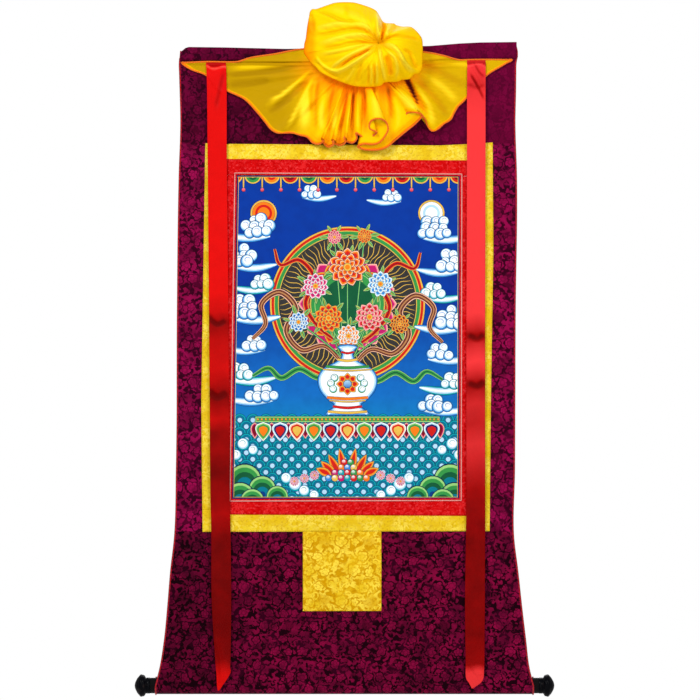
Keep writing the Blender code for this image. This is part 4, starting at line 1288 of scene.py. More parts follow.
class Canvas:
    """Collects flat painted shapes, each over the ones before it, and makes one cloth of them."""

    seed = 5
    rounds = 5
    slack = 0.06
    longest = 14.0

    def __init__(self, corners: np.ndarray, spacing: float) -> None:
        """Start with the cloth's own outline and a lattice of points that lets it bend."""
        self.points: list[tuple[float, float]] = []
        self.shapes: list[list[int]] = []
        self.washes: list[tuple[float, ...]] = []
        low, high = corners.min(axis=0), corners.max(axis=0)
        over = np.arange(low[0] + spacing, high[0] - spacing / 2, spacing)
        down = np.arange(low[1] + spacing, high[1] - spacing / 2, spacing)
        self.lattice = [(across, height) for across in over for height in down]
        self.fill(corners, Paint.TEAL)

    def fill(self, points: np.ndarray, upper: Paint, lower: Paint | None = None) -> None:
        """Paint a closed outline, in one colour or shaded from its top to its foot."""
        start = len(self.points)
        self.points += [(float(across), float(height)) for across, height in points]
        self.shapes.append(list(range(start, start + len(points))))
        foot = lower or upper
        self.washes.append((*upper.value, *foot.value, points[:, 1].max(), points[:, 1].min()))

    def nest(self, points: np.ndarray, layers: Sequence[tuple[float, Paint]]) -> None:
        """Paint an outline several times, each drawn in by its own distance."""
        for distance, paint in layers:
            self.fill(drawn_in(points, distance) if distance else points, paint)

    def disc(self, across: float, height: float, radius: float, upper: Paint, lower: Paint | None = None,
             sides: int = 0) -> None:
        """Paint a disc."""
        count = sides or max(10, min(64, round(radius * 1.6)))
        turns = np.linspace(0.0, 2 * math.pi, count, endpoint=False)
        ring = np.column_stack([np.cos(turns), np.sin(turns)]) * radius
        self.fill(ring + (across, height), upper, lower)

    def rings(self, across: float, height: float, rows: Sequence[tuple[float, Paint]], sides: int,
              radius: float = 1.0) -> None:
        """Paint discs in one another, whose sizes are shares of a radius."""
        for share, paint in rows:
            self.disc(across, height, radius * share, paint, sides=sides)

    def stroke(self, points: Rows, width: float, paint: Paint, ends: float = 0.1, count: int = 0) -> None:
        """Paint a brush line that swells in its middle."""
        path = smooth_path(points, count or 4 * len(points))
        ahead = np.gradient(path, axis=0)
        ahead /= np.maximum(np.linalg.norm(ahead, axis=1), 1e-9)[:, None]
        swell = ends + (1.0 - ends) * np.sin(math.pi * np.linspace(0.02, 0.98, len(path))) ** 0.6
        aside = np.column_stack([-ahead[:, 1], ahead[:, 0]]) * (width / 2 * swell)[:, None]
        self.fill(np.vstack([path + aside, (path - aside)[::-1]]), paint)

    def uppermost(self, places: np.ndarray) -> np.ndarray:
        """Return the number of the uppermost shape at each place, or -1 outside the cloth."""
        order = np.argsort(places[:, 0])
        ranked = places[order]
        found = np.full(len(places), -1)
        spots = np.array(self.points)
        for number, shape in enumerate(self.shapes):
            outline = spots[shape]
            low, high = outline.min(axis=0), outline.max(axis=0)
            first, last = np.searchsorted(ranked[:, 0], (low[0], high[0]))
            near = first + np.nonzero((ranked[first:last, 1] > low[1]) & (ranked[first:last, 1] < high[1]))[0]
            start, end = outline[None], np.roll(outline, -1, axis=0)[None]
            place = ranked[near][:, None]
            side = ((end[..., 0] - start[..., 0]) * (place[..., 1] - start[..., 1])
                    - (place[..., 0] - start[..., 0]) * (end[..., 1] - start[..., 1]))
            rising = (start[..., 1] <= place[..., 1]) & (end[..., 1] > place[..., 1]) & (side > 0)
            falling = (start[..., 1] > place[..., 1]) & (end[..., 1] <= place[..., 1]) & (side < 0)
            inside = order[near[rising.sum(axis=1) != falling.sum(axis=1)]]
            inside = inside if number == 0 else inside[found[inside] >= 0]
            found[inside] = number
        return found

    def parted(self, points: list, edges: list) -> tuple[np.ndarray, np.ndarray, np.ndarray]:
        """Return the points and triangles between the edges, and the uppermost shape at each triangle."""
        result = delaunay_2d_cdt([Vector(point) for point in points], edges, [], 0, 0.001, False)
        spots, faces = np.array([tuple(spot) for spot in result[0]]), np.array(result[2])
        sources = self.uppermost(spots[faces].mean(axis=1))
        return spots, faces[sources >= 0], sources[sources >= 0]

    @staticmethod
    def outlines(faces: np.ndarray, sources: np.ndarray, count: int) -> np.ndarray:
        """Return the edges that part two shapes, so that hidden outlines drop out."""
        sides = np.sort(np.concatenate([faces[:, [0, 1]], faces[:, [1, 2]], faces[:, [2, 0]]]), axis=1)
        keys = sides[:, 0] * count + sides[:, 1]
        order = np.argsort(keys, kind="stable")
        keys, owners = keys[order], np.tile(sources, 3)[order]
        alike = (keys[1:] == keys[:-1]) & (owners[1:] == owners[:-1])
        hidden = np.append(alike, False) | np.append(False, alike)
        return np.unique(sides[order][~hidden], axis=0)

    def simpler(self, spots: np.ndarray, edges: np.ndarray, rank: np.ndarray) -> np.ndarray:
        """Return the edges less some of the points that lie almost straight between their two neighbours."""
        ends = np.concatenate([edges, edges[:, ::-1]])
        ends = ends[np.argsort(ends[:, 0], kind="stable")]
        degree = np.bincount(ends[:, 0], minlength=len(spots))
        first = np.cumsum(degree) - degree
        middle = np.nonzero(degree == 2)[0]
        one, two = ends[first[middle], 1], ends[first[middle] + 1, 1]
        chord, arm = spots[two] - spots[one], spots[middle] - spots[one]
        span = np.maximum(np.linalg.norm(chord, axis=1), 1e-9)
        bend = np.abs(chord[:, 0] * arm[:, 1] - chord[:, 1] * arm[:, 0]) / span
        straight = (bend < self.slack) & (span < self.longest) & (one != two)
        loose = np.zeros(len(spots), bool)
        loose[middle[straight]] = True
        rivals = np.maximum(np.where(loose[one], rank[one], -1), np.where(loose[two], rank[two], -1))
        chosen = straight & (rank[middle] > rivals)
        gone = np.zeros(len(spots), bool)
        gone[middle[chosen]] = True
        kept = edges[~gone[edges].any(axis=1)]
        return np.unique(np.sort(np.concatenate([kept, np.column_stack([one, two])[chosen]]), axis=1), axis=0)

    def mesh(self, name: str, hanging: Hanging, layer: float) -> bpy.types.Object:
        """Make the painted cloth, whose faces take the colour of the uppermost shape there."""
        edges = [pair for shape in self.shapes for pair in zip(shape, shape[1:] + shape[:1])]
        spots, faces, sources = self.parted(self.points, edges)
        edges = self.outlines(faces, sources, len(spots))
        rank = np.random.default_rng(self.seed).permutation(len(spots))
        for _ in range(self.rounds):
            edges = self.simpler(spots, edges, rank)
        kept, ends = np.unique(edges, return_inverse=True)
        spots, faces, sources = self.parted(spots[kept].tolist() + self.lattice, ends.reshape(-1, 2).tolist())
        washes = np.array(self.washes)[sources]
        used, inverse = np.unique(faces, return_inverse=True)
        spots, faces = spots[used], inverse.reshape(faces.shape)
        stand = hanging.stand(spots[:, 0], spots[:, 1]) + layer
        points = np.column_stack([spots[:, 0], -stand, spots[:, 1]]) * MM
        data = bpy.data.meshes.new(name)
        data.from_pydata(points.tolist(), [], faces.tolist())
        corners = spots[faces]
        share = (washes[:, None, 6] - corners[:, :, 1]) / (washes[:, None, 6] - washes[:, None, 7])
        share = np.clip(share, 0.0, 1.0)[:, :, None]
        colours = washes[:, None, :3] * (1.0 - share) + washes[:, None, 3:6] * share
        colours = np.concatenate([colours, np.ones(colours.shape[:2] + (1,))], axis=-1)
        layer_of_paint = data.color_attributes.new("paint", "FLOAT_COLOR", "CORNER")
        layer_of_paint.data.foreach_set("color", colours.astype(np.float32).reshape(-1))
        data.uv_layers.new(name="cloth").data.foreach_set("uv", (corners * MM).astype(np.float32).reshape(-1))
        data.shade_smooth()
        return placed(name, data)


@dataclass
class Painting:
    """The painted cotton: flowers in a vase before a round, among clouds, over a lotus base and a sea."""

    hanging: Hanging
    lap: float = 8.0
    middle: float = 3.0
    top: float = -262.0
    foot: float = -909.0
    lattice: float = 12.5
    wave: float = 13.0
    wave_rows: int = 13
    wave_columns: int = 19
    rays: int = 84
    back_rows: int = 54
    back_columns: int = 38
    paint: PaintFinish = PaintFinish("painted cotton")
    canvas_back: LiningFinish = LiningFinish("cotton reverse", linear(206, 198, 178), linear(226, 220, 204),
                                             Weave.PLAIN)

    def build(self) -> None:
        """Paint the design, make the cloth and hand it over."""
        high, low = self.top + self.lap, self.foot - self.lap
        corners = np.array([
            (float(upright(ART_LEFT, -self.lap)(np.array(height))), height) for height in (high, low)
        ] + [(float(upright(ART_RIGHT, self.lap)(np.array(height))), height) for height in (low, high)])
        canvas = Canvas(corners, self.lattice)
        self.sky(canvas)
        self.sea(canvas)
        self.round(canvas)
        self.clouds(canvas)
        self.streamers(canvas)
        self.bouquet(canvas)
        self.vase(canvas)
        self.base(canvas)
        self.jewels(canvas)
        self.valance(canvas)
        self.border(canvas)
        piece = canvas.mesh("painting_cotton", self.hanging, LAYER + BROCADE / 2)
        self.back(piece, corners)
        for cloth in (self.paint, self.canvas_back):
            piece.data.materials.append(cloth.material())
        hand_over(piece, "painted_cotton", "painting")

    def back(self, piece: bpy.types.Object, corners: np.ndarray) -> None:
        """Add the reverse of the cloth, an even grid as far behind the face as the cloth is thick."""
        falls = np.linspace(0.0, 1.0, self.back_rows)[:, None, None]
        shares = np.linspace(0.0, 1.0, self.back_columns)[None, :, None]
        spots = mix(mix(corners[0], corners[1], falls), mix(corners[3], corners[2], falls), shares)
        stand = self.hanging.stand(spots[..., 0], spots[..., 1]) + LAYER - BROCADE / 2
        points = np.stack([spots[..., 0], -stand, spots[..., 1]], axis=-1) * MM
        with opened(piece) as mesh:
            place = mesh.loops.layers.uv["cloth"]
            verts = [[mesh.verts.new(point) for point in row] for row in points]
            for upper, lower in zip(verts, verts[1:]):
                for corner in range(self.back_columns - 1):
                    after = corner + 1
                    face = mesh.faces.new((upper[corner], upper[after], lower[after], lower[corner]))
                    face.material_index = 1
                    face.smooth = True
            bmesh.ops.bridge_loops(mesh, edges=[edge for edge in mesh.edges if edge.is_boundary])
            for face in mesh.faces:
                for loop in face.loops:
                    loop[place].uv = (loop.vert.co.x, loop.vert.co.z)

    def band(self, canvas: Canvas, high: float, low: float, upper: Paint, lower: Paint) -> None:
        """Paint a band right across, shaded from its top to its foot."""
        canvas.fill(np.array([(-240.0, high), (-240.0, low), (240.0, low), (240.0, high)]), upper, lower)

    def sky(self, canvas: Canvas) -> None:
        """Paint the sky, deep at the top and pale over the sea."""
        self.band(canvas, -250.0, -520.0, Paint.ROYAL, Paint.ROYAL)
        self.band(canvas, -520.0, -700.0, Paint.ROYAL, Paint.SKY)
        self.band(canvas, -700.0, -925.0, Paint.SKY, Paint.TEAL)

    def scale_wave(self, canvas: Canvas, across: float, height: float, radius: float) -> None:
        """Paint one wave of the sea, as rings that the next row half hides."""
        rows = ((1.0, Paint.LINE), (0.93, Paint.TEAL), (0.74, Paint.DEEP), (0.66, Paint.SEA),
                (0.44, Paint.DEEP), (0.36, Paint.PALE))
        canvas.rings(across, height, rows, 16, radius)

    def sea(self, canvas: Canvas) -> None:
        """Paint the sea in rows of waves, with foam and rounded rocks at both sides."""
        radius = self.wave
        for row in range(self.wave_rows):
            height = -752.0 - row * radius
            start = -238.0 + (row % 2) * radius
            for column in range(self.wave_columns):
                self.scale_wave(canvas, start + column * 2 * radius, height, radius)
        for side in (-1, 1):
            rocks = ((205, -872, 34), (170, -890, 28), (214, -905, 30), (140, -904, 22), (190, -912, 24))
            for across, height, radius in rocks:
                spot = self.middle + side * across
                for share, paint in ((1.0, Paint.LINE), (0.95, Paint.LEAF), (0.84, Paint.GREEN),
                                     (0.66, Paint.MOSS), (0.46, Paint.SEA), (0.24, Paint.DEEP)):
                    canvas.disc(spot, height - (1 - share) * radius * 0.5, radius * share, paint, sides=22)
            for across, height, size in ((104, -880, 15), (86, -893, 12), (122, -868, 12), (66, -902, 11),
                                         (208, -800, 13), (188, -812, 11), (222, -822, 12)):
                self.lobe(canvas, self.middle + side * across, height, size, side, Paint.TEAL, Paint.DEEP)

    def lobe(self, canvas: Canvas, across: float, height: float, radius: float, side: int, belly: Paint,
             line: Paint) -> None:
        """Paint one round curl of a cloud or of foam, lit from above."""
        steps = ((1.0, line, 0.0), (0.92, belly, 0.0), (0.80, Paint.PALE, 0.10), (0.66, Paint.WHITE, 0.17))
        for share, paint, shift in steps:
            canvas.disc(across + side * shift * radius * 0.5, height + shift * radius, radius * share, paint,
                        sides=18)
        turns = np.linspace(0.3, 4.6, 12)
        reach = radius * (0.62 - 0.11 * turns)
        spiral = np.column_stack([across + side * reach * np.cos(turns),
                                  height + 0.12 * radius + reach * np.sin(turns)])
        canvas.stroke(spiral, max(0.9, radius * 0.09), belly, count=16)

    def cloud(self, canvas: Canvas, across: float, height: float, counts: Sequence[int], radius: float,
              side: int, belly: Paint, seed: int) -> None:
        """Paint a cloud as rows of curls from the back row down to the front one.

        Args:
            canvas: What it is painted on.
            across: The place of its middle.
            height: The height of its front row.
            counts: How many curls each row has, from the back row.
            radius: The size of a curl.
            side: Which way its curls wind and its tail trails, 1 or -1.
            belly: The colour of the undersides.
            seed: The number that sets this cloud's unevenness apart.
        """
        chance = np.random.default_rng(seed)
        tail = [(across - side * radius * 2, height - radius * 0.7),
                (across + side * radius * 2, height - radius),
                (across + side * radius * (max(counts) + 2.6), height - radius * 0.4)]
        for width, paint in ((1.5, Paint.LINE), (1.36, belly), (0.9, Paint.PALE), (0.45, Paint.WHITE)):
            canvas.stroke(tail, radius * width, paint, 0.05, 18)
        for row, count in enumerate(counts):
            level_here = height + (len(counts) - 1 - row) * radius * 1.05
            for column in range(count):
                spot = across + (column - (count - 1) / 2) * radius * 1.35 + chance.uniform(-2, 2)
                size = radius * chance.uniform(0.82, 1.15)
                self.lobe(canvas, spot, level_here + chance.uniform(-2, 2), size, side, belly, Paint.LINE)

    def clouds(self, canvas: Canvas) -> None:
        """Paint the clouds down both sides, and the sun and the moon that rest on the highest."""
        for side, light, glow in ((-1, Paint.ORANGE, Paint.RED), (1, Paint.WHITE, Paint.PALE)):
            spot, height = self.middle + side * 168.0, -338.0
            rows = ((27.0, Paint.LINE), (26.2, Paint.GOLD), (23.0, Paint.LINE), (22.4, light),
                    (17.0, glow), (12.0, light))
            canvas.rings(spot, height, rows, 40)
        plan = (
            (-176, -376, (2, 4, 3), 12, -1, Paint.BELLY), (178, -380, (3, 3, 4), 12, 1, Paint.BELLY),
            (-70, -300, (2, 3), 9, 1, Paint.BELLY), (92, -308, (2, 3), 9, -1, Paint.BELLY),
            (-206, -436, (1, 3, 2), 12, 1, Paint.BELLY), (208, -446, (2, 2, 3), 12, -1, Paint.BELLY),
            (-168, -482, (2, 3), 11, -1, Paint.TEAL), (176, -500, (2, 3), 11, 1, Paint.TEAL),
            (-204, -540, (2, 3, 3), 13, 1, Paint.BELLY), (210, -560, (1, 3, 3), 13, -1, Paint.BELLY),
            (-184, -604, (2, 3), 11, -1, Paint.BELLY), (188, -622, (2, 3), 12, 1, Paint.BELLY),
            (-212, -662, (2, 3), 13, 1, Paint.TEAL), (214, -682, (2, 3), 12, -1, Paint.TEAL),
            (-168, -704, (2, 4), 12, -1, Paint.BELLY), (176, -724, (2, 4), 12, 1, Paint.BELLY),
        )
        for seed, (across, height, counts, radius, side, belly) in enumerate(plan):
            self.cloud(canvas, across, height, counts, radius, side, belly, seed)

    def petal(self, canvas: Canvas, across: float, height: float, length: float, width: float, turn: float,
              layers: Sequence[tuple[float, Paint]], bluntness: float = 0.75) -> None:
        """Paint a pointed petal or leaf that grows from a place in a direction, in nested colours."""
        share = np.linspace(0.0, 1.0, 9)
        reach = np.sin(math.pi * share**bluntness) ** 0.85 * width / 2
        side = np.column_stack([reach, share * length])
        outline = np.vstack([side, side[-2:0:-1] * (-1, 1)])
        heart = np.array((0.0, length * 0.46))
        for distance, paint in layers:
            scale = (max(0.1, 1.0 - 2.0 * distance / width), max(0.2, 1.0 - 2.4 * distance / length))
            canvas.fill(turned_about((outline - heart) * scale + heart, across, height, turn), paint)

    def ring_of_petals(self, canvas: Canvas, across: float, height: float, radius: float, count: int,
                       length: float, layers: Sequence[tuple[float, Paint]], shift: float = 0.0,
                       fullness: float = 1.25) -> None:
        """Paint petals all round a middle, each from its own radius outwards."""
        width = 2 * math.pi * (radius + length / 2) / count * fullness
        for step in range(count):
            turn = 2 * math.pi * (step + shift) / count
            self.petal(canvas, across - radius * math.sin(turn), height + radius * math.cos(turn), length,
                       width, turn, layers)

    def round(self, canvas: Canvas) -> None:
        """Paint the dark round with its gold rays, and the green round of petals in it."""
        spot, height = self.middle, -520.0
        rim = ((156, Paint.LINE), (155, Paint.GOLD), (152, Paint.RED), (147, Paint.GOLD),
               (145.5, Paint.GREEN), (139, Paint.GOLD), (137.5, Paint.CHARCOAL))
        canvas.rings(spot, height, rim, 96)
        for step in range(self.rays):
            turn = 2 * math.pi * step / self.rays
            wave = [(2.6 * math.sin(reach * 0.16 + step), reach) for reach in np.linspace(92, 135, 6)]
            canvas.stroke(turned_about(np.array(wave), spot, height, turn), 1.3, Paint.GOLD, 0.2, 10)
        self.ring_of_petals(canvas, spot, height, 70, 20, 30,
                            ((0, Paint.LINE), (0.8, Paint.PEACH), (2.2, Paint.PINK), (4.4, Paint.MAGENTA)))
        self.ring_of_petals(canvas, spot, height, 62, 20, 26,
                            ((0, Paint.LINE), (0.8, Paint.GOLD), (2.0, Paint.ORANGE), (4.2, Paint.RED)), 0.5)
        heart = ((76, Paint.LINE), (75, Paint.GOLD), (73, Paint.GREEN), (66, Paint.LEAF),
                 (64.5, Paint.GREEN), (52, Paint.MOSS))
        canvas.rings(spot, height, heart, 72)

    def scarf(self, canvas: Canvas, points: Rows, width: float, colours: tuple[Paint, Paint, Paint]) -> None:
        """Paint a streamer of silk with its bright edge and the line of its fold."""
        rim, body, fold = colours
        count = 7 * len(points)
        for share, paint in ((1.0, Paint.LINE), (0.88, rim), (0.68, body), (0.20, fold)):
            canvas.stroke(points, width * share, paint, 0.35, count)

    def streamers(self, canvas: Canvas) -> None:
        """Paint the streamers that wind out from behind the vase."""
        route = ((8, -640), (46, -604), (92, -612), (122, -574), (104, -528), (136, -496), (172, -520),
                 (164, -560), (190, -590))
        higher = ((14, -600), (58, -566), (84, -520), (66, -470), (96, -432), (134, -442), (146, -410))
        lower = ((10, -664), (58, -668), (96, -650), (132, -668), (158, -648), (190, -664))
        plans = ((route, 15.0, (Paint.PEACH, Paint.BROWN, Paint.TAN)),
                 (higher, 12.0, (Paint.GOLD, Paint.RED, Paint.WINE)),
                 (lower, 13.0, (Paint.LEAF, Paint.GREEN, Paint.MOSS)))
        for points, width, colours in plans:
            for side in (-1, 1):
                drift = 7.0 if side > 0 else 0.0
                path = [(self.middle + side * across, height - drift) for across, height in points]
                self.scarf(canvas, path, width, colours)

    def blossom(self, canvas: Canvas, across: float, height: float, radius: float,
                colours: tuple[Paint, Paint, Paint]) -> None:
        """Paint a full blossom of three rows of petals round a golden heart."""
        pale, body, deep = colours
        layers = ((0, Paint.LINE), (radius * 0.025, pale), (radius * 0.07, body), (radius * 0.14, deep))
        for row, (share, count) in enumerate(((0.42, 11), (0.24, 9), (0.08, 7))):
            self.ring_of_petals(canvas, across, height, radius * share, count,
                                radius * (0.58 - 0.08 * row), layers, 0.5 * row, 1.4)
        heart = ((0.22, Paint.LINE), (0.20, Paint.GOLD), (0.12, Paint.ORANGE))
        canvas.rings(across, height, heart, 14, radius)

    def leaf(self, canvas: Canvas, across: float, height: float, length: float, turn: float) -> None:
        """Paint a leaf with its vein."""
        layers = ((0, Paint.LINE), (0.7, Paint.LEAF), (2.0, Paint.GREEN), (3.8, Paint.MOSS))
        self.petal(canvas, across, height, length, length * 0.42, turn, layers, 0.9)
        vein = np.array([(0.0, length * 0.06), (0.6, length * 0.5), (0.0, length * 0.92)])
        canvas.stroke(turned_about(vein, across, height, turn), 0.9, Paint.GOLD, 0.2, 8)

    def bouquet(self, canvas: Canvas) -> None:
        """Paint the stems, leaves and blossoms that rise from the vase."""
        heads = (
            (0, -446, 40, (Paint.PEACH, Paint.ORANGE, Paint.RED)),
            (-64, -484, 27, (Paint.WHITE, Paint.PINK, Paint.MAGENTA)),
            (66, -480, 27, (Paint.WHITE, Paint.PALE, Paint.BELLY)),
            (-38, -548, 30, (Paint.GOLD, Paint.ORANGE, Paint.RED)),
            (44, -546, 30, (Paint.PEACH, Paint.PINK, Paint.RED)),
            (-98, -556, 21, (Paint.WHITE, Paint.PALE, Paint.SKY)),
            (104, -560, 21, (Paint.GOLD, Paint.ORANGE, Paint.WINE)),
            (2, -584, 24, (Paint.WHITE, Paint.PEACH, Paint.ORANGE)),
            (-26, -386, 15, (Paint.PEACH, Paint.PINK, Paint.MAGENTA)),
            (34, -384, 15, (Paint.GOLD, Paint.ORANGE, Paint.RED)),
        )
        for across, height, *_ in heads:
            stem = ((0, -640), (across * 0.3, -610 if height > -570 else -618), (across, height))
            for width, paint in ((4.2, Paint.LINE), (2.8, Paint.GREEN), (1.0, Paint.LEAF)):
                canvas.stroke([(self.middle + x, z) for x, z in stem], width, paint, 0.7, 14)
        chance = np.random.default_rng(5)
        for across, height, radius, _ in heads:
            for turn in np.linspace(0.0, 2 * math.pi, 6, endpoint=False) + chance.uniform(0, 1):
                self.leaf(canvas, self.middle + across - radius * 0.7 * math.sin(turn),
                          height + radius * 0.7 * math.cos(turn), chance.uniform(16, 24), turn)
        for across, height, radius, colours in heads:
            self.blossom(canvas, self.middle + across, height, radius, colours)

    def vase(self, canvas: Canvas) -> None:
        """Paint the white vase with its collar, bands and hanging jewels."""
        half = ((0, -600), (16, -602), (21, -607), (15, -613), (12, -624), (22, -634), (48, -648), (60, -668),
                (56, -692), (40, -712), (27, -722), (38, -733), (44, -742), (0, -743))
        right = smooth_path(half, 44)
        outline = np.vstack([right, right[-2:0:-1] * (-1, 1)]) + (self.middle, 0)
        canvas.nest(outline, ((0, Paint.LINE), (1.0, Paint.BELLY), (3.4, Paint.PALE), (6.6, Paint.WHITE)))
        for height, wide, thick, paint in ((-617, 25, 3.5, Paint.RED), (-632, 40, 4.5, Paint.GOLD),
                                           (-646, 86, 5.0, Paint.GREEN), (-652, 98, 2.4, Paint.GOLD),
                                           (-708, 82, 5.0, Paint.ORANGE), (-714, 72, 2.4, Paint.GOLD),
                                           (-726, 58, 4.5, Paint.RED), (-736, 78, 4.5, Paint.GOLD)):
            bow = [(self.middle - wide / 2, height + 1.2), (self.middle, height - 1.6),
                   (self.middle + wide / 2, height + 1.2)]
            canvas.stroke(bow, thick + 1.4, Paint.LINE, 0.85, 14)
            canvas.stroke(bow, thick, paint, 0.85, 14)
        self.ring_of_petals(canvas, self.middle, -680, 7, 8, 16,
                            ((0, Paint.LINE), (0.7, Paint.GOLD), (1.8, Paint.ORANGE), (3.2, Paint.RED)))
        canvas.disc(self.middle, -680, 8.6, Paint.LINE)
        canvas.disc(self.middle, -680, 7.6, Paint.PALE, Paint.SKY)
        for side in (-1, 1):
            for turn in (0.9, 1.5, 2.1):
                reach = 33.0
                across = self.middle + side * reach * math.sin(turn)
                height = -680 + reach * 0.6 * math.cos(turn)
                self.lobe(canvas, across, height, 8.0, side, Paint.GREEN, Paint.MOSS)

    def base(self, canvas: Canvas) -> None:
        """Paint the lotus base: a beaded seat over a row of petals of several colours."""
        left, right, seat = -182.0, 188.0, -744.0
        for high, low, paint in ((0, 13, Paint.LINE), (1, 12, Paint.LEAF), (3, 10, Paint.GREEN)):
            shape = [(left + high, seat - high), (left + high, seat - low), (right - high, seat - low),
                     (right - high, seat - high)]
            canvas.fill(np.array(shape, float), paint)
        for across in np.arange(left + 6, right - 3, 8.0):
            canvas.disc(across, seat - 6.5, 2.6, Paint.WINE, sides=10)
            canvas.disc(across, seat - 6.3, 2.0, Paint.GOLD, Paint.ORANGE, sides=10)
        sets = (
            ((0, Paint.LINE), (0.9, Paint.WHITE), (2.4, Paint.LEAF), (4.6, Paint.GREEN), (8.0, Paint.ORANGE)),
            ((0, Paint.LINE), (0.9, Paint.WHITE), (2.4, Paint.PALE), (4.6, Paint.NAVY), (8.0, Paint.RED)),
            ((0, Paint.LINE), (0.9, Paint.WHITE), (2.4, Paint.PEACH), (4.6, Paint.RED), (8.0, Paint.GOLD)),
        )
        slim = ((0, Paint.LINE), (0.8, Paint.PEACH), (2.2, Paint.MAGENTA), (4.2, Paint.WINE))
        count = 11
        pitch = (right - left) / count
        for step in range(count + 1):
            self.petal(canvas, left + step * pitch, seat - 12, 34, pitch * 0.55, math.pi, slim)
        for step in range(count):
            self.petal(canvas, left + (step + 0.5) * pitch, seat - 11, 40, pitch, math.pi,
                       sets[step % len(sets)], 0.62)

    def jewels(self, canvas: Canvas) -> None:
        """Paint a heap of coloured jewels on the sea under the base, with a flame round it."""
        paints = (Paint.RED, Paint.GREEN, Paint.ORANGE, Paint.BELLY, Paint.GOLD, Paint.MAGENTA, Paint.TEAL)
        for side in (-1, 1):
            for step, lean in enumerate((0.2, 0.5, 0.8, 1.15)):
                layers = ((0, Paint.WINE), (0.9, Paint.GOLD), (2.4, Paint.ORANGE), (4.6, Paint.RED))
                self.petal(canvas, self.middle + side * (4 + 9 * step), -868 + 2 * step, 62 - 9 * step, 17,
                           -side * lean, layers, 0.9)
        number = 0
        for row, count in enumerate((2, 3, 5, 7)):
            for column in range(count):
                across = self.middle + (column - (count - 1) / 2) * 12.6
                height = -836 - row * 10.5
                paint = paints[number % len(paints)]
                number += 1
                canvas.rings(across, height, ((7.2, Paint.LINE), (6.4, paint)), 18)
                canvas.disc(across - 1.2, height + 1.6, 3.6, Paint.WHITE, paint, sides=12)
        for side in (-1, 1):
            for step in range(3):
                across = self.middle + side * (66 + 20 * step)
                height = -862 - 6 * step
                self.blossom(canvas, across, height, 10.0, (Paint.WHITE, Paint.PINK, Paint.MAGENTA))

    def valance(self, canvas: Canvas) -> None:
        """Paint the beaded swags that hang from the top edge."""
        pitch = 37.4
        for step in range(13):
            across = -224.0 + step * pitch
            paints = ((Paint.RED, Paint.WINE), (Paint.GREEN, Paint.MOSS), (Paint.ORANGE, Paint.RED))[step % 3]
            rows = ((17.6, Paint.LINE), (16.8, Paint.GOLD), (14.4, paints[0]), (9.4, paints[1]),
                    (4.6, Paint.GOLD))
            canvas.rings(across, self.top, rows, 24)
            join = across + pitch / 2
            canvas.stroke([(join, -258), (join, -272), (join, -290)], 4.4, Paint.LINE, 0.6, 8)
            canvas.stroke([(join, -258), (join, -272), (join, -289)], 2.8, Paint.GOLD, 0.6, 8)
            canvas.disc(join, -291, 4.4, Paint.LINE, sides=12)
            canvas.disc(join, -291, 3.6, Paint.PINK, Paint.RED, sides=12)

    def border(self, canvas: Canvas) -> None:
        """Paint the fine dark and gold lines round the design."""
        for margin, thick, paint in ((0.0, 3.0, Paint.NAVY), (3.0, 0.9, Paint.GOLD)):
            high, low = self.top - margin, self.foot + margin
            for line, step in ((ART_LEFT, 1), (ART_RIGHT, -1)):
                near = [float(upright(line, step * margin)(np.array(height))) for height in (high, low)]
                shape = [(near[0], high + 9 * (margin == 0)), (near[1], low - 9 * (margin == 0)),
                         (near[1] + step * thick, low), (near[0] + step * thick, high)]
                canvas.fill(np.array(shape), paint)
            for height, step in ((high, -1), (low, 1)):
                shape = [(-218.6 + margin if step < 0 else -227 + margin, height), (226.0 - margin, height),
                         (226.0 - margin, height + step * thick), (-222.0 + margin, height + step * thick)]
                canvas.fill(np.array(shape), paint)


@dataclass
class Bindings:
    """The thin red binding down each side of the hanging and round each end of the sleeve."""

    hanging: Hanging
    radius: float = 1.5
    crown: tuple[float, float] = (-12.0, 5.5)
    red: CordFinish = CordFinish("red binding", linear(196, 16, 30), linear(118, 4, 16), twist=0.009)

    def build(self) -> None:
        """Make, dress and hand over both bindings."""
        cloth = self.red.material()
        for side, crown in zip(("left", "right"), self.crown):
            edge = self.hanging.edge(side, self.radius)
            height = np.linspace(crown, ROLLER_HEIGHT, 210)
            across = edge(height)
            stand = np.maximum(self.hanging.stand(across, height), 6.0)
            path = [np.column_stack([across, stand, height])]
            ring = ROD_RADIUS + 2 * GAP + self.radius
            turns = np.radians(np.arange(8.0, 254.0, 6.0))
            path.append(np.column_stack([np.full_like(turns, across[-1]), ROLLER_STAND + ring * np.cos(turns),
                                         ROLLER_HEIGHT - ring * np.sin(turns)]))
            cord = tube_piece(f"binding_{side}_cord", np.vstack(path), self.radius)
            cord.data.materials.append(cloth)
            hand_over(cord, "binding_cloth", "binding_" + side)


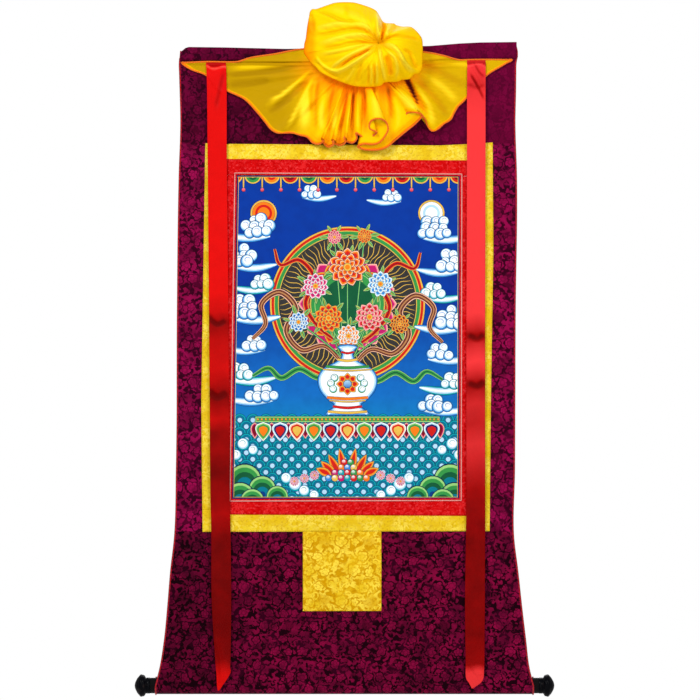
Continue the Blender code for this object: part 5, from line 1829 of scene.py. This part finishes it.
@dataclass
class Ribbons:
    """The two red satin ribbons that hang over the front, each with its folded, pointed end."""

    hanging: Hanging
    columns: int = 36
    rows: int = 420
    left: Rows = (
        (-280.6, -33, -240.6, -33, 4.1), (-281, -44, -240.4, -43, 5.6), (-280, -47, -240, -46, 7.4),
        (-278.5, -100, -239, -100, 9.5), (-277, -240, -238.6, -240, 9.5), (-274, -520, -235, -520, 8.5),
        (-270.6, -872, -231.8, -872, 9.5), (-268.6, -972, -230, -972, 8.5),
        (-267.8, -1112, -228.6, -1112, 9.5),
        (-261, -1232, -230.4, -1226, 9), (-258.6, -1260, -231.2, -1244, 11),
        (-257.6, -1282, -231.2, -1258, 12.5),
        (-255.6, -1292.8, -252.6, -1291, 11.5),
    )
    right: Rows = (
        (242.2, -29.4, 279.4, -28.8, 4.1), (242.6, -38, 279.8, -38, 5.8), (243, -41, 280, -41, 7.6),
        (242.4, -100, 279.6, -100, 9.5), (242, -304, 279.2, -304, 9.5), (240.4, -600, 278, -600, 8.5),
        (240, -872, 277.6, -872, 9.5), (239, -972, 277.4, -972, 8.5), (237.2, -1112, 277, -1112, 9.5),
        (238.6, -1230, 276.4, -1222, 9), (239.2, -1264.8, 275.6, -1250.6, 10.5),
        (245, -1276, 272.4, -1272, 11.5),
        (251.4, -1287.8, 254.4, -1287, 11),
    )
    # Painted shading down each ribbon by height: above nought painted shade, below nought painted highlight.
    left_tone: Rows = (
        (-30, 0.55), (-43, 0.6), (-46, -0.7), (-50, 0.05), (-100, 0.1), (-180, 0.1), (-500, 0.05),
        (-535, 0.35),
        (-556, 0.85), (-590, 0.5), (-650, 0.3), (-690, 0.7), (-706, 0.92), (-750, 0.4), (-776, 0.85),
        (-810, 0.8), (-860, 0.96), (-940, 0.65), (-985, 0.95), (-1180, 1.0), (-1232, 0.9), (-1262, 0.25),
        (-1293, 0.1),
    )
    right_tone: Rows = (
        (-28, 0.45), (-39, 0.5), (-42, -0.4), (-46, 0.1), (-80, 0.35), (-96, 0.15), (-150, 0.0),
        (-540, 0.0), (-584, 0.75),
        (-610, 0.3), (-636, 0.0), (-680, 0.75), (-720, 0.4), (-760, 0.55), (-800, 0.3), (-860, 0.6),
        (-900, 0.75), (-990, 0.92), (-1180, 0.9), (-1240, 0.8), (-1256, 0.15), (-1290, 0.1),
    )
    left_creases: tuple[Crease, ...] = (
        Crease(((-281, -46), (-262, -44), (-240, -45)), 7, 1.8),
        Crease(((-276, -52), (-268, -74), (-246, -100)), 12, 1.2),
        Crease(((-244, -52), (-252, -84), (-262, -130)), 14, -1.4),
        Crease(((-278, -540), (-258, -560), (-238, -552)), 18, -1.6),
        Crease(((-276, -690), (-256, -706), (-236, -694)), 20, -1.6),
        Crease(((-262, -1180), (-250, -1230), (-248, -1286)), 14, 2.2),
    )
    right_creases: tuple[Crease, ...] = (
        Crease(((242, -44), (262, -40), (280, -42)), 7, 1.8),
        Crease(((246, -34), (262, -58), (278, -92)), 10, 2.2, 0.4),
        Crease(((256, -36), (268, -56), (279, -66)), 8, -1.8),
        Crease(((242, -78), (262, -86), (279, -80)), 12, -1.0),
        Crease(((247, -56), (262, -82), (277, -112)), 9.0, -2.4, 0.3),
        Crease(((242, -580), (262, -590), (278, -578)), 20, -1.6),
        Crease(((242, -676), (262, -684), (278, -672)), 20, -1.6),
        Crease(((248, -1240), (262, -1258), (276, -1252)), 10, 2.0),
    )
    # After the red: the deep red is painted shade, the pink a painted sheen, the pale red a painted highlight
    # and the darkest red painted shade in deep creases.
    satin: SilkFinish = SilkFinish(
        "ribbon satin", linear(216, 10, 8), linear(104, 0, 0), linear(250, 84, 88), 0.4, linear(255, 96, 78),
        linear(70, 0, 0), 0.035, crumple=0.0006)

    def build(self) -> None:
        """Make, dress and hand over both ribbons."""
        satin = self.satin.material()
        sides = (("left", self.left, self.left_tone, self.left_creases),
                 ("right", self.right, self.right_tone, self.right_creases))
        for side, bands, painted_shading, creases in sides:
            ribbon = self.ribbon(side, bands, painted_shading, creases)
            thicken(ribbon, SILK, satin)
            hand_over(ribbon, "ribbon_satin", "ribbon_" + side)

    def ribbon(self, side: str, bands: Rows, painted_shading: Rows, creases: tuple[Crease, ...]) -> bpy.types.Object:
        """Make one ribbon from its bands of (left, left height, right, right height, stand proud)."""
        rows = smooth_path(bands, self.rows)
        share = np.linspace(0.0, 1.0, self.columns + 1)[None, :]
        across = mix(rows[:, :1], rows[:, 2:3], share)
        height = mix(rows[:, 1:2], rows[:, 3:4], share)
        cup = 0.9 * np.sin(math.pi * share) * np.sin(height / 118.0 + 0.6)
        wave = 0.9 * np.sin(height / 37.0 + across / 40.0) * ease((-90.0 - height) / 60.0)
        stand = self.hanging.stand(across, height) + rows[:, 4:5] + cup + wave
        stand += creased(creases, across, height)
        points = np.stack([across, stand, height], axis=-1)
        ribbon = grid_piece(f"ribbon_{side}_satin", points, np.stack([across, height], axis=-1) * MM)
        # The painted shading is read along a slant, and the valleys of the creases add painted shade.
        slant = height + 0.25 * (across - across.mean()) + 5.0 * np.sin(across / 9.0)
        valleys = [crease for crease in creases if crease.rise < 0]
        crease_shade = np.clip(-creased(valleys, across, height) / 2.0, 0.0, 1.0)
        painted_tones = np.clip(read_rows(painted_shading, 0, 1, slant), -1.0, 1.0) + 0.5 * crease_shade
        give_attribute(ribbon, "fold", painted_tones)
        # Painted sheen: the right ribbon is lightened towards pink where its painted shading is light.
        sheer = 0.36 if side == "right" else 0.0
        give_attribute(ribbon, "sheer", sheer * np.clip(1.0 - 1.4 * painted_tones, 0.0, 1.0))
        return ribbon


@dataclass
class Veil:
    """The yellow silk: a puff gathered at its pinch, a skirt that falls from it, and the sewn hem."""

    hanging: Hanging
    columns: int = 320
    pinch: tuple[float, float, float] = (65.4, 70.0, -1.6)
    rim_stand: float = 52.0
    neck: tuple[float, float, float] = (36.0, 34.0, -44.0)
    neck_size: tuple[float, float] = (46.0, 20.0)
    crown: float = 34.0
    fall: float = 2.5
    hem_radius: float = 1.6
    # The slit runs from its start to its end, and a painted shadow is laid along it.
    slit: tuple[float, float, float, float] = (119.0, -62.0, 147.0, -128.0)
    frills: Rows = ((-30.0, 44.0), (132.0, 46.0))
    rim_upper: Rows = (
        (-84, -20), (-83, -2), (-80, 10), (-77, 34), (-73, 56), (-72, 62), (-67, 68), (-60, 68), (-50, 71),
        (-36, 76), (-18, 81), (14, 81), (40, 74), (58, 66), (66, 56), (73, 44), (80, 40), (96, 39), (100, 36),
        (112, 33), (130, 32), (144, 20), (152, 6), (153, -24),
    )
    rim_lower: Rows = (
        (153, -24), (152, -48), (146, -60), (137, -62), (127, -71), (112, -73), (101, -77), (78, -78),
        (68, -85),
        (44, -87), (20, -86), (1, -81), (-18, -74), (-40, -64), (-52, -57), (-60, -48), (-72, -36),
        (-84, -20),
    )
    hem_upper: Rows = (
        (-330, -36, 7.6), (-280, -34, 7.6), (-242, -34.5, 7.8), (-228, -34.5, 11), (-214, -33.5, 14.5),
        (-190, -26, 15), (-144, -19, 15.5), (-86, -9, 18), (-12, -7, 19), (68, -8, 19), (150, -14, 18),
        (193, -21.5, 15.5), (212, -27, 14.5), (228, -30.5, 10), (242, -30, 7.8), (282, -29.5, 7.6),
        (334, -30, 7.6),
    )
    hem_lower: Rows = (
        (334, -30, 7.6), (311, -43, 8.6), (279, -64, 9.6), (239, -110, 11.5), (226, -122, 15),
        (218, -134, 13),
        (210, -150, 20), (194, -160, 15), (178, -174, 24), (166, -168, 18), (158, -150, 30), (150, -140, 34),
        (128, -150, 26), (118, -142, 26), (128, -137, 38), (152, -142, 42), (140, -158, 34), (118, -176, 28),
        (96, -194, 25), (82, -206, 30), (58, -212, 24), (24, -208, 23), (32, -200, 30), (62, -200, 36),
        (80, -182, 44), (84, -166, 47), (76, -154, 51), (60, -151, 54), (47, -158, 54), (46, -168, 52),
        (55, -176, 50), (62, -178, 47),
        (44, -188, 24), (30, -184, 30), (18, -178, 36), (22, -192, 24), (6, -198, 21), (-6, -186, 34),
        (2, -194, 38), (-16, -203, 22), (-30, -192, 34), (-20, -198, 38), (-38, -205, 21), (-50, -190, 32),
        (-44, -196, 35), (-62, -200, 20), (-80, -184, 25), (-98, -181, 24), (-112, -176, 17),
        (-133, -178, 22), (-150, -170, 17), (-166, -150, 17), (-184, -129, 16), (-205, -108, 13),
        (-241, -91, 11),
        (-262, -76, 12), (-282, -60, 9.4), (-312, -49, 8.4), (-330, -36, 7.6),
    )
    puff_creases: tuple[Crease, ...] = (
        Crease(((-60, 65), (-32, 54), (-8, 43), (26, 37)), 13, -5.0),
        Crease(((-64, 28), (-27, 35), (9, 37), (38, 31), (60, 10)), 16, 6.0, -0.3),
        Crease(((-64, 13), (-27, 18), (4, 23), (33, 22), (58, 4)), 12, -5.5),
        Crease(((-52, -2), (-15, 8), (14, 13), (43, 13), (63, 1)), 16, 6.5, -0.3),
        Crease(((-54, -15), (-15, -9), (21, -2), (55, -1)), 12, -4.5),
        Crease(((-52, -24), (-15, -18), (24, -9), (56, -4)), 13, 4.0),
        Crease(((62, -4), (43, -10), (14, -23), (-15, -40), (-27, -49), (-29, -55)), 12, 8.5, 0.3),
        Crease(((-29, -55), (-10, -55), (14, -43), (36, -28), (58, -11)), 12, 8.0, -0.2),
        Crease(((52, -13), (30, -24), (14, -31), (-15, -48)), 9, -8.5),
        Crease(((60, 62), (62, 40), (63, 18), (66, 2)), 12, 9.0, 0.3),
        Crease(((73, 42), (76, 30), (73, 15), (69, 1)), 11, -14.0),
        Crease(((86, 40), (84, 26), (78, 10)), 12, 6.0),
        Crease(((72, 3), (96, 10), (130, 9), (149, 4)), 12, -5.0),
        Crease(((76, 8), (106, 24), (130, 27)), 16, 5.0),
        Crease(((98, 34), (96, 24), (84, 10)), 9, -4.0),
        Crease(((71, -4), (92, -8), (106, -21), (119, -43), (139, -60)), 14, 9.5, -0.4),
        Crease(((112, -14), (128, -24), (136, -44), (149, -50)), 13, -5.0),
        Crease(((65, -9), (68, -33), (73, -57), (78, -78)), 11, 8.0, 0.3),
        Crease(((80, -18), (97, -33), (102, -53), (100, -71)), 10, 7.0),
        Crease(((79, -26), (87, -48), (89, -68)), 17, -10.0),
        Crease(((44, -46), (45, -66), (43, -86)), 7, -4.0),
        Crease(((50, -46), (51, -66), (50, -86)), 7, 4.0),
        Crease(((56, -44), (57, -66), (56, -86)), 7, -4.0),
        Crease(((61, -40), (62, -66), (61, -84)), 8, 5.0),
        Crease(((30, -40), (26, -62), (18, -82)), 13, -3.0),
        Crease(((18, -50), (8, -66), (-2, -78)), 12, 2.5),
        Crease(((-62, -26), (-49, -43), (-32, -54), (-8, -62)), 9, 4.5),
        Crease(((-58, -38), (-39, -57), (-15, -69)), 8, -4.0),
        Crease(((-70, 60), (-66, 40), (-64, 20)), 12, -4.0),
        Crease(((-36, 70), (-10, 62), (20, 50), (50, 30)), 22, 3.0),
        Crease(((0, 78), (2, 66), (0, 52)), 16, -2.5),
    )
    skirt_creases: tuple[Crease, ...] = (
        Crease(((-62, -20), (-120, -34), (-180, -44), (-236, -46)), 20, 5.0),
        Crease(((-70, -34), (-130, -50), (-200, -58), (-240, -60)), 15, -3.5),
        Crease(((-64, -46), (-92, -70), (-126, -98), (-158, -118)), 13, 7.5, 0.2),
        Crease(((-70, -66), (-100, -94), (-128, -118), (-150, -134)), 16, -6.0),
        Crease(((-62, -60), (-84, -100), (-104, -140), (-118, -168)), 13, 5.5, 0.2),
        Crease(((-150, -70), (-190, -76), (-236, -80)), 22, -2.5),
        Crease(((-72, -92), (-84, -120), (-82, -150)), 26, 5.0),
        Crease(((-64, -72), (-70, -100), (-66, -140)), 14, -5.5),
        Crease(((-60, -60), (-80, -130), (-86, -176)), 34, 6.0),
        Crease(((-54, -66), (-60, -110), (-60, -176)), 12, -6.0),
        Crease(((-40, -80), (-48, -124), (-50, -178)), 22, 7.0),
        Crease(((-24, -84), (-32, -124), (-38, -184)), 11, -6.0),
        Crease(((-8, -84), (-16, -118), (-27, -180)), 17, 9.5),
        Crease(((3, -88), (-5, -130), (-14, -180)), 10, -7.0),
        Crease(((9, -92), (5, -130), (2, -174)), 10, 7.0),
        Crease(((15, -90), (13, -130), (11, -180)), 9, -12.0),
        Crease(((22, -92), (20, -130), (18, -180)), 8, 7.0),
        Crease(((30, -92), (28, -130), (27, -178)), 8, 7.5),
        Crease(((38, -90), (38, -130), (38, -176)), 10, -9.0),
        Crease(((57, -86), (60, -120), (66, -160)), 32, 13.0),
        Crease(((82, -80), (89, -120), (89, -156)), 13, -9.0),
        Crease(((100, -78), (124, -110), (146, -142)), 34, 11.0, -0.2),
        Crease(((92, -100), (104, -140), (100, -180)), 20, 5.0),
        Crease(((118, -70), (137, -100), (160, -140)), 13, -14.0, 0.5),
        Crease(((130, -70), (160, -112), (178, -168)), 18, 5.0),
        Crease(((140, -70), (176, -104), (206, -146)), 18, -5.0),
        Crease(((140, -50), (190, -82), (226, -118)), 22, 4.5),
        Crease(((150, -34), (196, -58), (244, -84)), 20, -3.5),
        Crease(((150, -20), (200, -32), (262, -44)), 20, 3.5),
    )
    # After the yellow: the orange is painted shade, the dull green-yellow painted see-through shade, the pale
    # yellow a painted highlight and the maroon a painted shadow in the slit.
    silk: SilkFinish = SilkFinish(
        "veil silk", linear(252, 206, 2), linear(255, 138, 0), linear(164, 124, 0), 0.42,
        linear(255, 238, 64),
        linear(84, 14, 14), 0.02, crumple=0.0011)
    thread: ThreadFinish = ThreadFinish("hem thread", linear(242, 108, 4), linear(212, 76, 0))
    overlock: CordFinish = CordFinish("hem overlock", linear(248, 132, 16), linear(214, 84, 4), twist=0.0026)

    def build(self) -> None:
        """Make, dress and hand over the silk and its hem."""
        puff = self.puff()
        necks = self.necks()
        under = self.under(puff[-1], necks)
        skirt = self.skirt(necks)
        rings = np.concatenate([puff, under, skirt])
        turns = np.linspace(0.0, 1.9, self.columns, endpoint=False)
        steps = np.linalg.norm(np.diff(rings, axis=0), axis=-1).mean(axis=1)
        run = np.concatenate([[0.0], np.cumsum(steps)]) * MM
        cloth = np.stack(np.meshgrid(turns, run), axis=-1)
        piece = grid_piece("veil_silk_cloth", rings, cloth, round_and_round=True)
        # The fold attribute carries the silk's painted shade and painted highlights.
        give_attribute(piece, "fold", np.concatenate(self.depths))
        # The second attribute carries the painted see-through shade of the wings.
        give_attribute(piece, "sheer", np.concatenate(self.sheers))
        close_pinch(piece, self.columns)
        thicken(piece, SILK, self.silk.material())
        hem = tube_piece("veil_hem", self.smooth_ring(skirt[-1]), self.hem_radius, closed=True)
        hem.data.materials.append(self.overlock.material())
        overcast = Stitching(3.6, (0.3, 0.3, 0.3), self.hem_radius + 0.1)
        whip = overcast.sew("veil_hem_stitches", self.smooth_ring(skirt[-1]), self.thread.material(), True)
        for part in (piece, hem, whip):
            hand_over(part, "veil_silk", "veil")
        area = sum(face.area for face in piece.data.polygons)
        LOG.info("veil silk area %.3f square metres", area)

    @staticmethod
    def smooth_ring(row: np.ndarray) -> np.ndarray:
        """Return a hem's path, even in its steps."""
        return smooth_path(row[::2], 900, True)

    def ring(self, upper: Rows, lower: Rows) -> np.ndarray:
        """Return an outline with one point for each column, half of them on each of its two parts."""
        half = self.columns // 2
        return np.vstack([smooth_path(rows, half + 1)[:-1] for rows in (upper, lower)])

    def puff(self) -> np.ndarray:
        """Return the rings of the puff, from the pinch to its rim."""
        rims = self.ring(self.rim_upper, self.rim_lower)
        reach = np.linspace(0.012, 1.0, 64)[:, None]
        across = mix(self.pinch[0], rims[None, :, 0], reach)
        height = mix(self.pinch[2], rims[None, :, 1], reach)
        body = self.crown * np.sin(math.pi * reach**0.8) ** 1.2
        turn = np.arctan2(rims[:, 1] - self.pinch[2], rims[:, 0] - self.pinch[0])[None, :]
        gathers = np.sin(23 * turn + 1.0) + 0.7 * np.sin(37 * turn + 2.1) + 0.5 * np.sin(61 * turn)
        gathers = gathers * 1.1 * np.exp(-((reach - 0.16) ** 2) / 0.02)
        lift = creased(self.puff_creases, across, height) * ease(reach * 7.0)
        fine = 0.5 * np.sin(17 * turn + 9 * reach) + 0.4 * np.sin(41 * turn + 14 * reach + 1.0)
        stand = mix(self.pinch[1], self.rim_stand, reach**2.2) + body + lift + gathers + fine
        shade = painted_fold_shading(self.puff_creases, across, height)
        # Weaker painted shade in the troughs, a deeper colour towards the rim, and painted shade down the
        # puff's left side.
        shade = np.where(shade > 0.0, 0.65 * shade, shade) + 0.35 * ease((reach - 0.93) / 0.07)
        shade = shade + 0.7 * ease((-54.0 - across) / 16.0) * ease((48.0 - np.abs(height - 5.0)) / 16.0)
        self.depths = [np.clip(shade, -1.0, 1.0)]
        self.sheers = [np.zeros_like(across)]
        return np.stack([across, stand, height], axis=-1)

    def necks(self) -> np.ndarray:
        """Return the ring where the silk is tied behind the puff."""
        turn = math.pi - 2 * math.pi * np.arange(self.columns) / self.columns
        return np.column_stack([
            self.neck[0] + self.neck_size[0] * np.cos(turn), np.full(self.columns, self.neck[1]),
            self.neck[2] + self.neck_size[1] * np.sin(turn)])

    def under(self, rim: np.ndarray, necks: np.ndarray) -> np.ndarray:
        """Return the rings that turn in under the puff, from its rim to the neck."""
        reach = (np.arange(1, 15) / 14.0)[:, None, None]
        curl = 1.0 - np.sqrt(1.0 - reach)
        rings = mix(rim[None], necks[None], curl)
        rings[:, :, 1] = mix(rim[None, :, 1], necks[None, :, 1], reach[:, :, 0])
        # Painted shade where the silk turns in under the puff.
        self.depths.append(np.full(rings.shape[:2], 0.5))
        self.sheers.append(np.zeros(rings.shape[:2]))
        return rings

    def skirt(self, necks: np.ndarray) -> np.ndarray:
        """Return the rings of the skirt, from the neck to the hem."""
        hems = self.ring(self.hem_upper, self.hem_lower)
        reach = (np.arange(1, 57) / 56.0)[:, None]
        across = mix(necks[None, :, 0], hems[None, :, 0], reach)
        height = mix(necks[None, :, 2], hems[None, :, 1], reach)
        fall = (1.0 - reach) ** self.fall
        lower = (np.arange(self.columns) >= self.columns // 2)[None, :]
        ramp = np.sin(math.pi / 2 * reach)
        lift = creased(self.skirt_creases, across, height) * ramp * lower
        place = np.arange(self.columns)[None, :] / self.columns
        pleats = np.sin(place * 2 * math.pi * 53 + 1.0) + 0.6 * np.sin(place * 2 * math.pi * 83 + 0.4)
        pleats = pleats * 0.9 * np.sin(math.pi * np.minimum(1.0, reach * 1.1)) * lower
        stand = mix(hems[None, :, 2], necks[None, :, 1], fall) + lift + pleats
        least = self.hanging.stand(across, height) + 2 * LAYER + BROCADE
        stand = np.maximum(stand, np.where(np.abs(across - 3.0) < 238.0, least + 1.2, least - LAYER))
        # Painted shade in the skirt's troughs, painted highlights on its ridges, and painted shadow near the
        # neck under the puff.
        shade = painted_fold_shading(self.skirt_creases, across, height) * lower + 0.75 * ease((0.66 - reach) / 0.5)
        away = np.abs(across - 36.0)
        hem = ease((reach - 0.968) / 0.02)
        # A deeper orange towards the middle.
        shade += 0.22 * ease((110.0 - away) / 60.0)
        frill = np.max([ease(1.6 - np.abs(hems[:, 0] - middle) / half_width * 1.2) for middle, half_width
                        in self.frills], axis=0) * (hems[:, 1] < -130.0)
        band = ease((reach - 0.86) / 0.08) * frill[None, :]
        folded = 0.5 + 0.5 * np.sin(reach * 190.0 + np.arange(self.columns)[None, :] * 0.9)
        stand = stand + 1.2 * band * folded
        shade = shade * ease((260.0 - away) / 120.0) + 0.9 * hem + band * (0.35 + 0.45 * folded)
        # Painted shadow in the slit between the middle and the right wing, where the silk also stands back.
        start, way = self.slit[:2], np.subtract(self.slit[2:], self.slit[:2])
        down = ((across - start[0]) * way[0] + (height - start[1]) * way[1]) / (way @ way)
        near = np.clip(down, 0.0, 1.0)
        aside = np.hypot(across - start[0] - near * way[0], height - start[1] - near * way[1])
        slit_shadow = ease((8.5 - 5.0 * near - aside) / 4.5) * ease(down / 0.08 + 1.0) * ease((1.1 - down) / 0.35)
        shade += 2.4 * slit_shadow
        stand = np.maximum(stand - 4.0 * slit_shadow, least)
        self.depths.append(np.clip(shade, -1.0, 2.0))
        # Painted see-through shade: the wings take a dull green-yellow from the dark ground behind, less on
        # the right and little on ridges.
        side = np.where(across < 0.0, 1.0, 0.74)
        lying = np.clip(0.84 - lift / 7.0, 0.0, 1.0)
        self.sheers.append(side * ease((away - 66.0) / 100.0) * lying * (1.0 - hem))
        return np.stack([across, stand, height], axis=-1)


def painted_fold_shading(creases: tuple[Crease, ...], across: np.ndarray, height: np.ndarray) -> np.ndarray:
    """Return the silk's painted shading: painted shade above nought in its troughs, painted highlight below
    nought on its ridges.
    """
    troughs = creased([crease for crease in creases if crease.rise < 0], across, height)
    ridges = creased([crease for crease in creases if crease.rise > 0], across, height)
    return 0.8 * np.clip(-troughs / 9.0, 0.0, 1.0) ** 0.8 - 0.5 * np.clip(ridges / 8.0, 0.0, 1.0)


def close_pinch(piece: bpy.types.Object, columns: int) -> None:
    """Close the small hole where the gathers meet."""
    with opened(piece) as mesh:
        mesh.verts.ensure_lookup_table()
        ring = [mesh.verts[index] for index in range(columns)]
        bmesh.ops.contextual_create(mesh, geom=ring)
    piece.data.shade_smooth()


@dataclass
class Roller:
    """The wooden rod in the sleeve and the turned black knob on each of its ends."""

    rod_left: float = -392.0
    rod_right: float = 386.0
    knob: Rows = (
        (0.0, 0.0), (0.0, 15.6), (0.6, 16.0), (7.0, 16.0), (7.6, 15.3), (8.4, 16.2), (9.0, 16.4),
        (10.4, 19.6),
        (12.4, 21.2), (14.6, 21.7), (15.0, 21.2), (15.5, 22.1), (17.6, 22.5), (19.6, 21.8), (22.0, 19.0),
        (24.0, 17.0), (24.4, 16.0), (25.2, 15.6), (26.8, 12.6), (28.6, 9.2), (29.4, 7.5), (30.4, 4.0),
        (31.0, 0.0),
    )
    lacquer: LacquerFinish = LacquerFinish("knob lacquer", linear(4, 4, 8), linear(34, 26, 26), 0.3)
    wood: LacquerFinish = LacquerFinish("rod wood", linear(15, 12, 13), linear(28, 23, 23), 0.5)

    def build(self) -> None:
        """Make, dress and hand over the rod and the knobs."""
        length = self.rod_right - self.rod_left
        rod = turned_piece("rod_turned", ((0, 0), (0, 14.9), (0.6, ROD_RADIUS), (length - 0.6, ROD_RADIUS),
                                          (length, 14.9), (length, 0)), self.rod_left, 1)
        rod.data.materials.append(self.wood.material())
        hand_over(rod, "rod_wood", "roller_rod")
        lacquer = self.lacquer.material()
        for side, start, direction in (("left", self.rod_left - GAP, -1), ("right", self.rod_right + GAP, 1)):
            knob = turned_piece(f"knob_{side}_turned", self.knob, start, direction)
            knob.data.materials.append(lacquer)
            hand_over(knob, "knob_lacquer", "knob_" + side)


@dataclass
class Studio:
    """The pale floor, the soft lights and the camera straight in front."""

    middle: tuple[float, float] = (0.008, -0.612)
    distance: float = 8.03
    lens: float = 205.7
    sensor: float = 36.0
    clip_end: float = 50.0
    ambient: float = 0.46
    floor_drop: float = 1.62
    floor_radius: float = 1.8
    floor_sides: int = 96
    lamps: Rows = (
        (-1.1, -2.2, 1.4, 0.9, 50.0), (1.6, -2.6, 0.5, 1.2, 31.0), (0.0, -3.0, -1.0, 2.0, 13.0),
        (0.4, 2.6, 0.8, 2.0, 30.0),
    )

    def build(self) -> None:
        """Make the floor, the lights, the pale surroundings and the camera."""
        self.floor()
        for number, (across, depth, height, size, power) in enumerate(self.lamps):
            lamp = bpy.data.lights.new(f"lamp_{number}", "AREA")
            lamp.shape = "DISK"
            lamp.size = size
            lamp.energy = power
            stand = placed(f"lamp_{number}", lamp)
            stand.location = (across, depth, height)
            aim = Vector((self.middle[0], 0.0, self.middle[1])) - Vector(stand.location)
            stand.rotation_euler = aim.to_track_quat("-Z", "Y").to_euler()
        self.surroundings()
        camera = bpy.data.cameras.new("camera")
        camera.lens = self.lens
        camera.sensor_width = self.sensor
        camera.clip_end = self.clip_end
        holder = placed("camera", camera)
        holder.location = (self.middle[0], -self.distance, self.middle[1])
        holder.rotation_euler = (math.radians(90.0), 0.0, 0.0)
        bpy.context.scene.camera = holder
        bpy.context.scene.view_settings.view_transform = "Standard"

    def floor(self) -> None:
        """Make the plain pale floor."""
        turns = np.linspace(0.0, 2 * math.pi, self.floor_sides, endpoint=False)
        verts = [(self.floor_radius * math.cos(turn), self.floor_radius * math.sin(turn), -self.floor_drop)
                 for turn in turns]
        data = bpy.data.meshes.new("floor")
        data.from_pydata(verts, [], [tuple(range(self.floor_sides))])
        bench, shader = new_material("floor paint")
        place = bench.node("ShaderNodeTexCoord").outputs["Object"]
        bench.feed(shader.inputs["Base Color"], bench.blend(bench.noise(place, 3.0), (0.80, 0.80, 0.79),
                                                            (0.84, 0.84, 0.83)))
        shader.inputs["Roughness"].default_value = 0.9
        data.materials.append(bpy.data.materials["floor paint"])
        placed("floor", data)

    def surroundings(self) -> None:
        """Make the pale surroundings: soft light all round, and plain white where they show."""
        world = bpy.data.worlds.new("surroundings")
        bpy.context.scene.world = world
        world.use_nodes = True
        bench = Bench(world.node_tree)
        glow = world.node_tree.nodes["Background"]
        white = bench.node("ShaderNodeBackground")
        for light, strength in ((glow, self.ambient), (white, 1.0)):
            light.inputs["Color"].default_value = (1.0, 1.0, 1.0, 1.0)
            light.inputs["Strength"].default_value = strength
        either = bench.node("ShaderNodeMixShader")
        seen = bench.node("ShaderNodeLightPath").outputs["Is Camera Ray"]
        bench.feed(either.inputs[0], seen)
        bench.feed(either.inputs[1], glow.outputs[0])
        bench.feed(either.inputs[2], white.outputs[0])
        bench.feed(world.node_tree.nodes["World Output"].inputs["Surface"], either.outputs[0])


def main() -> None:
    """Load the frame and build each sub-assembly on it in order."""
    logging.basicConfig(level=logging.INFO, format="%(name)s: %(message)s")
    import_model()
    hanging = Hanging()
    Studio().build()
    GroundCloth(hanging).build()
    Bindings(hanging).build()
    Mount(hanging).build()
    Painting(hanging).build()
    Ribbons(hanging).build()
    Veil(hanging).build()
    Roller().build()


if __name__ == "__main__":
    main()
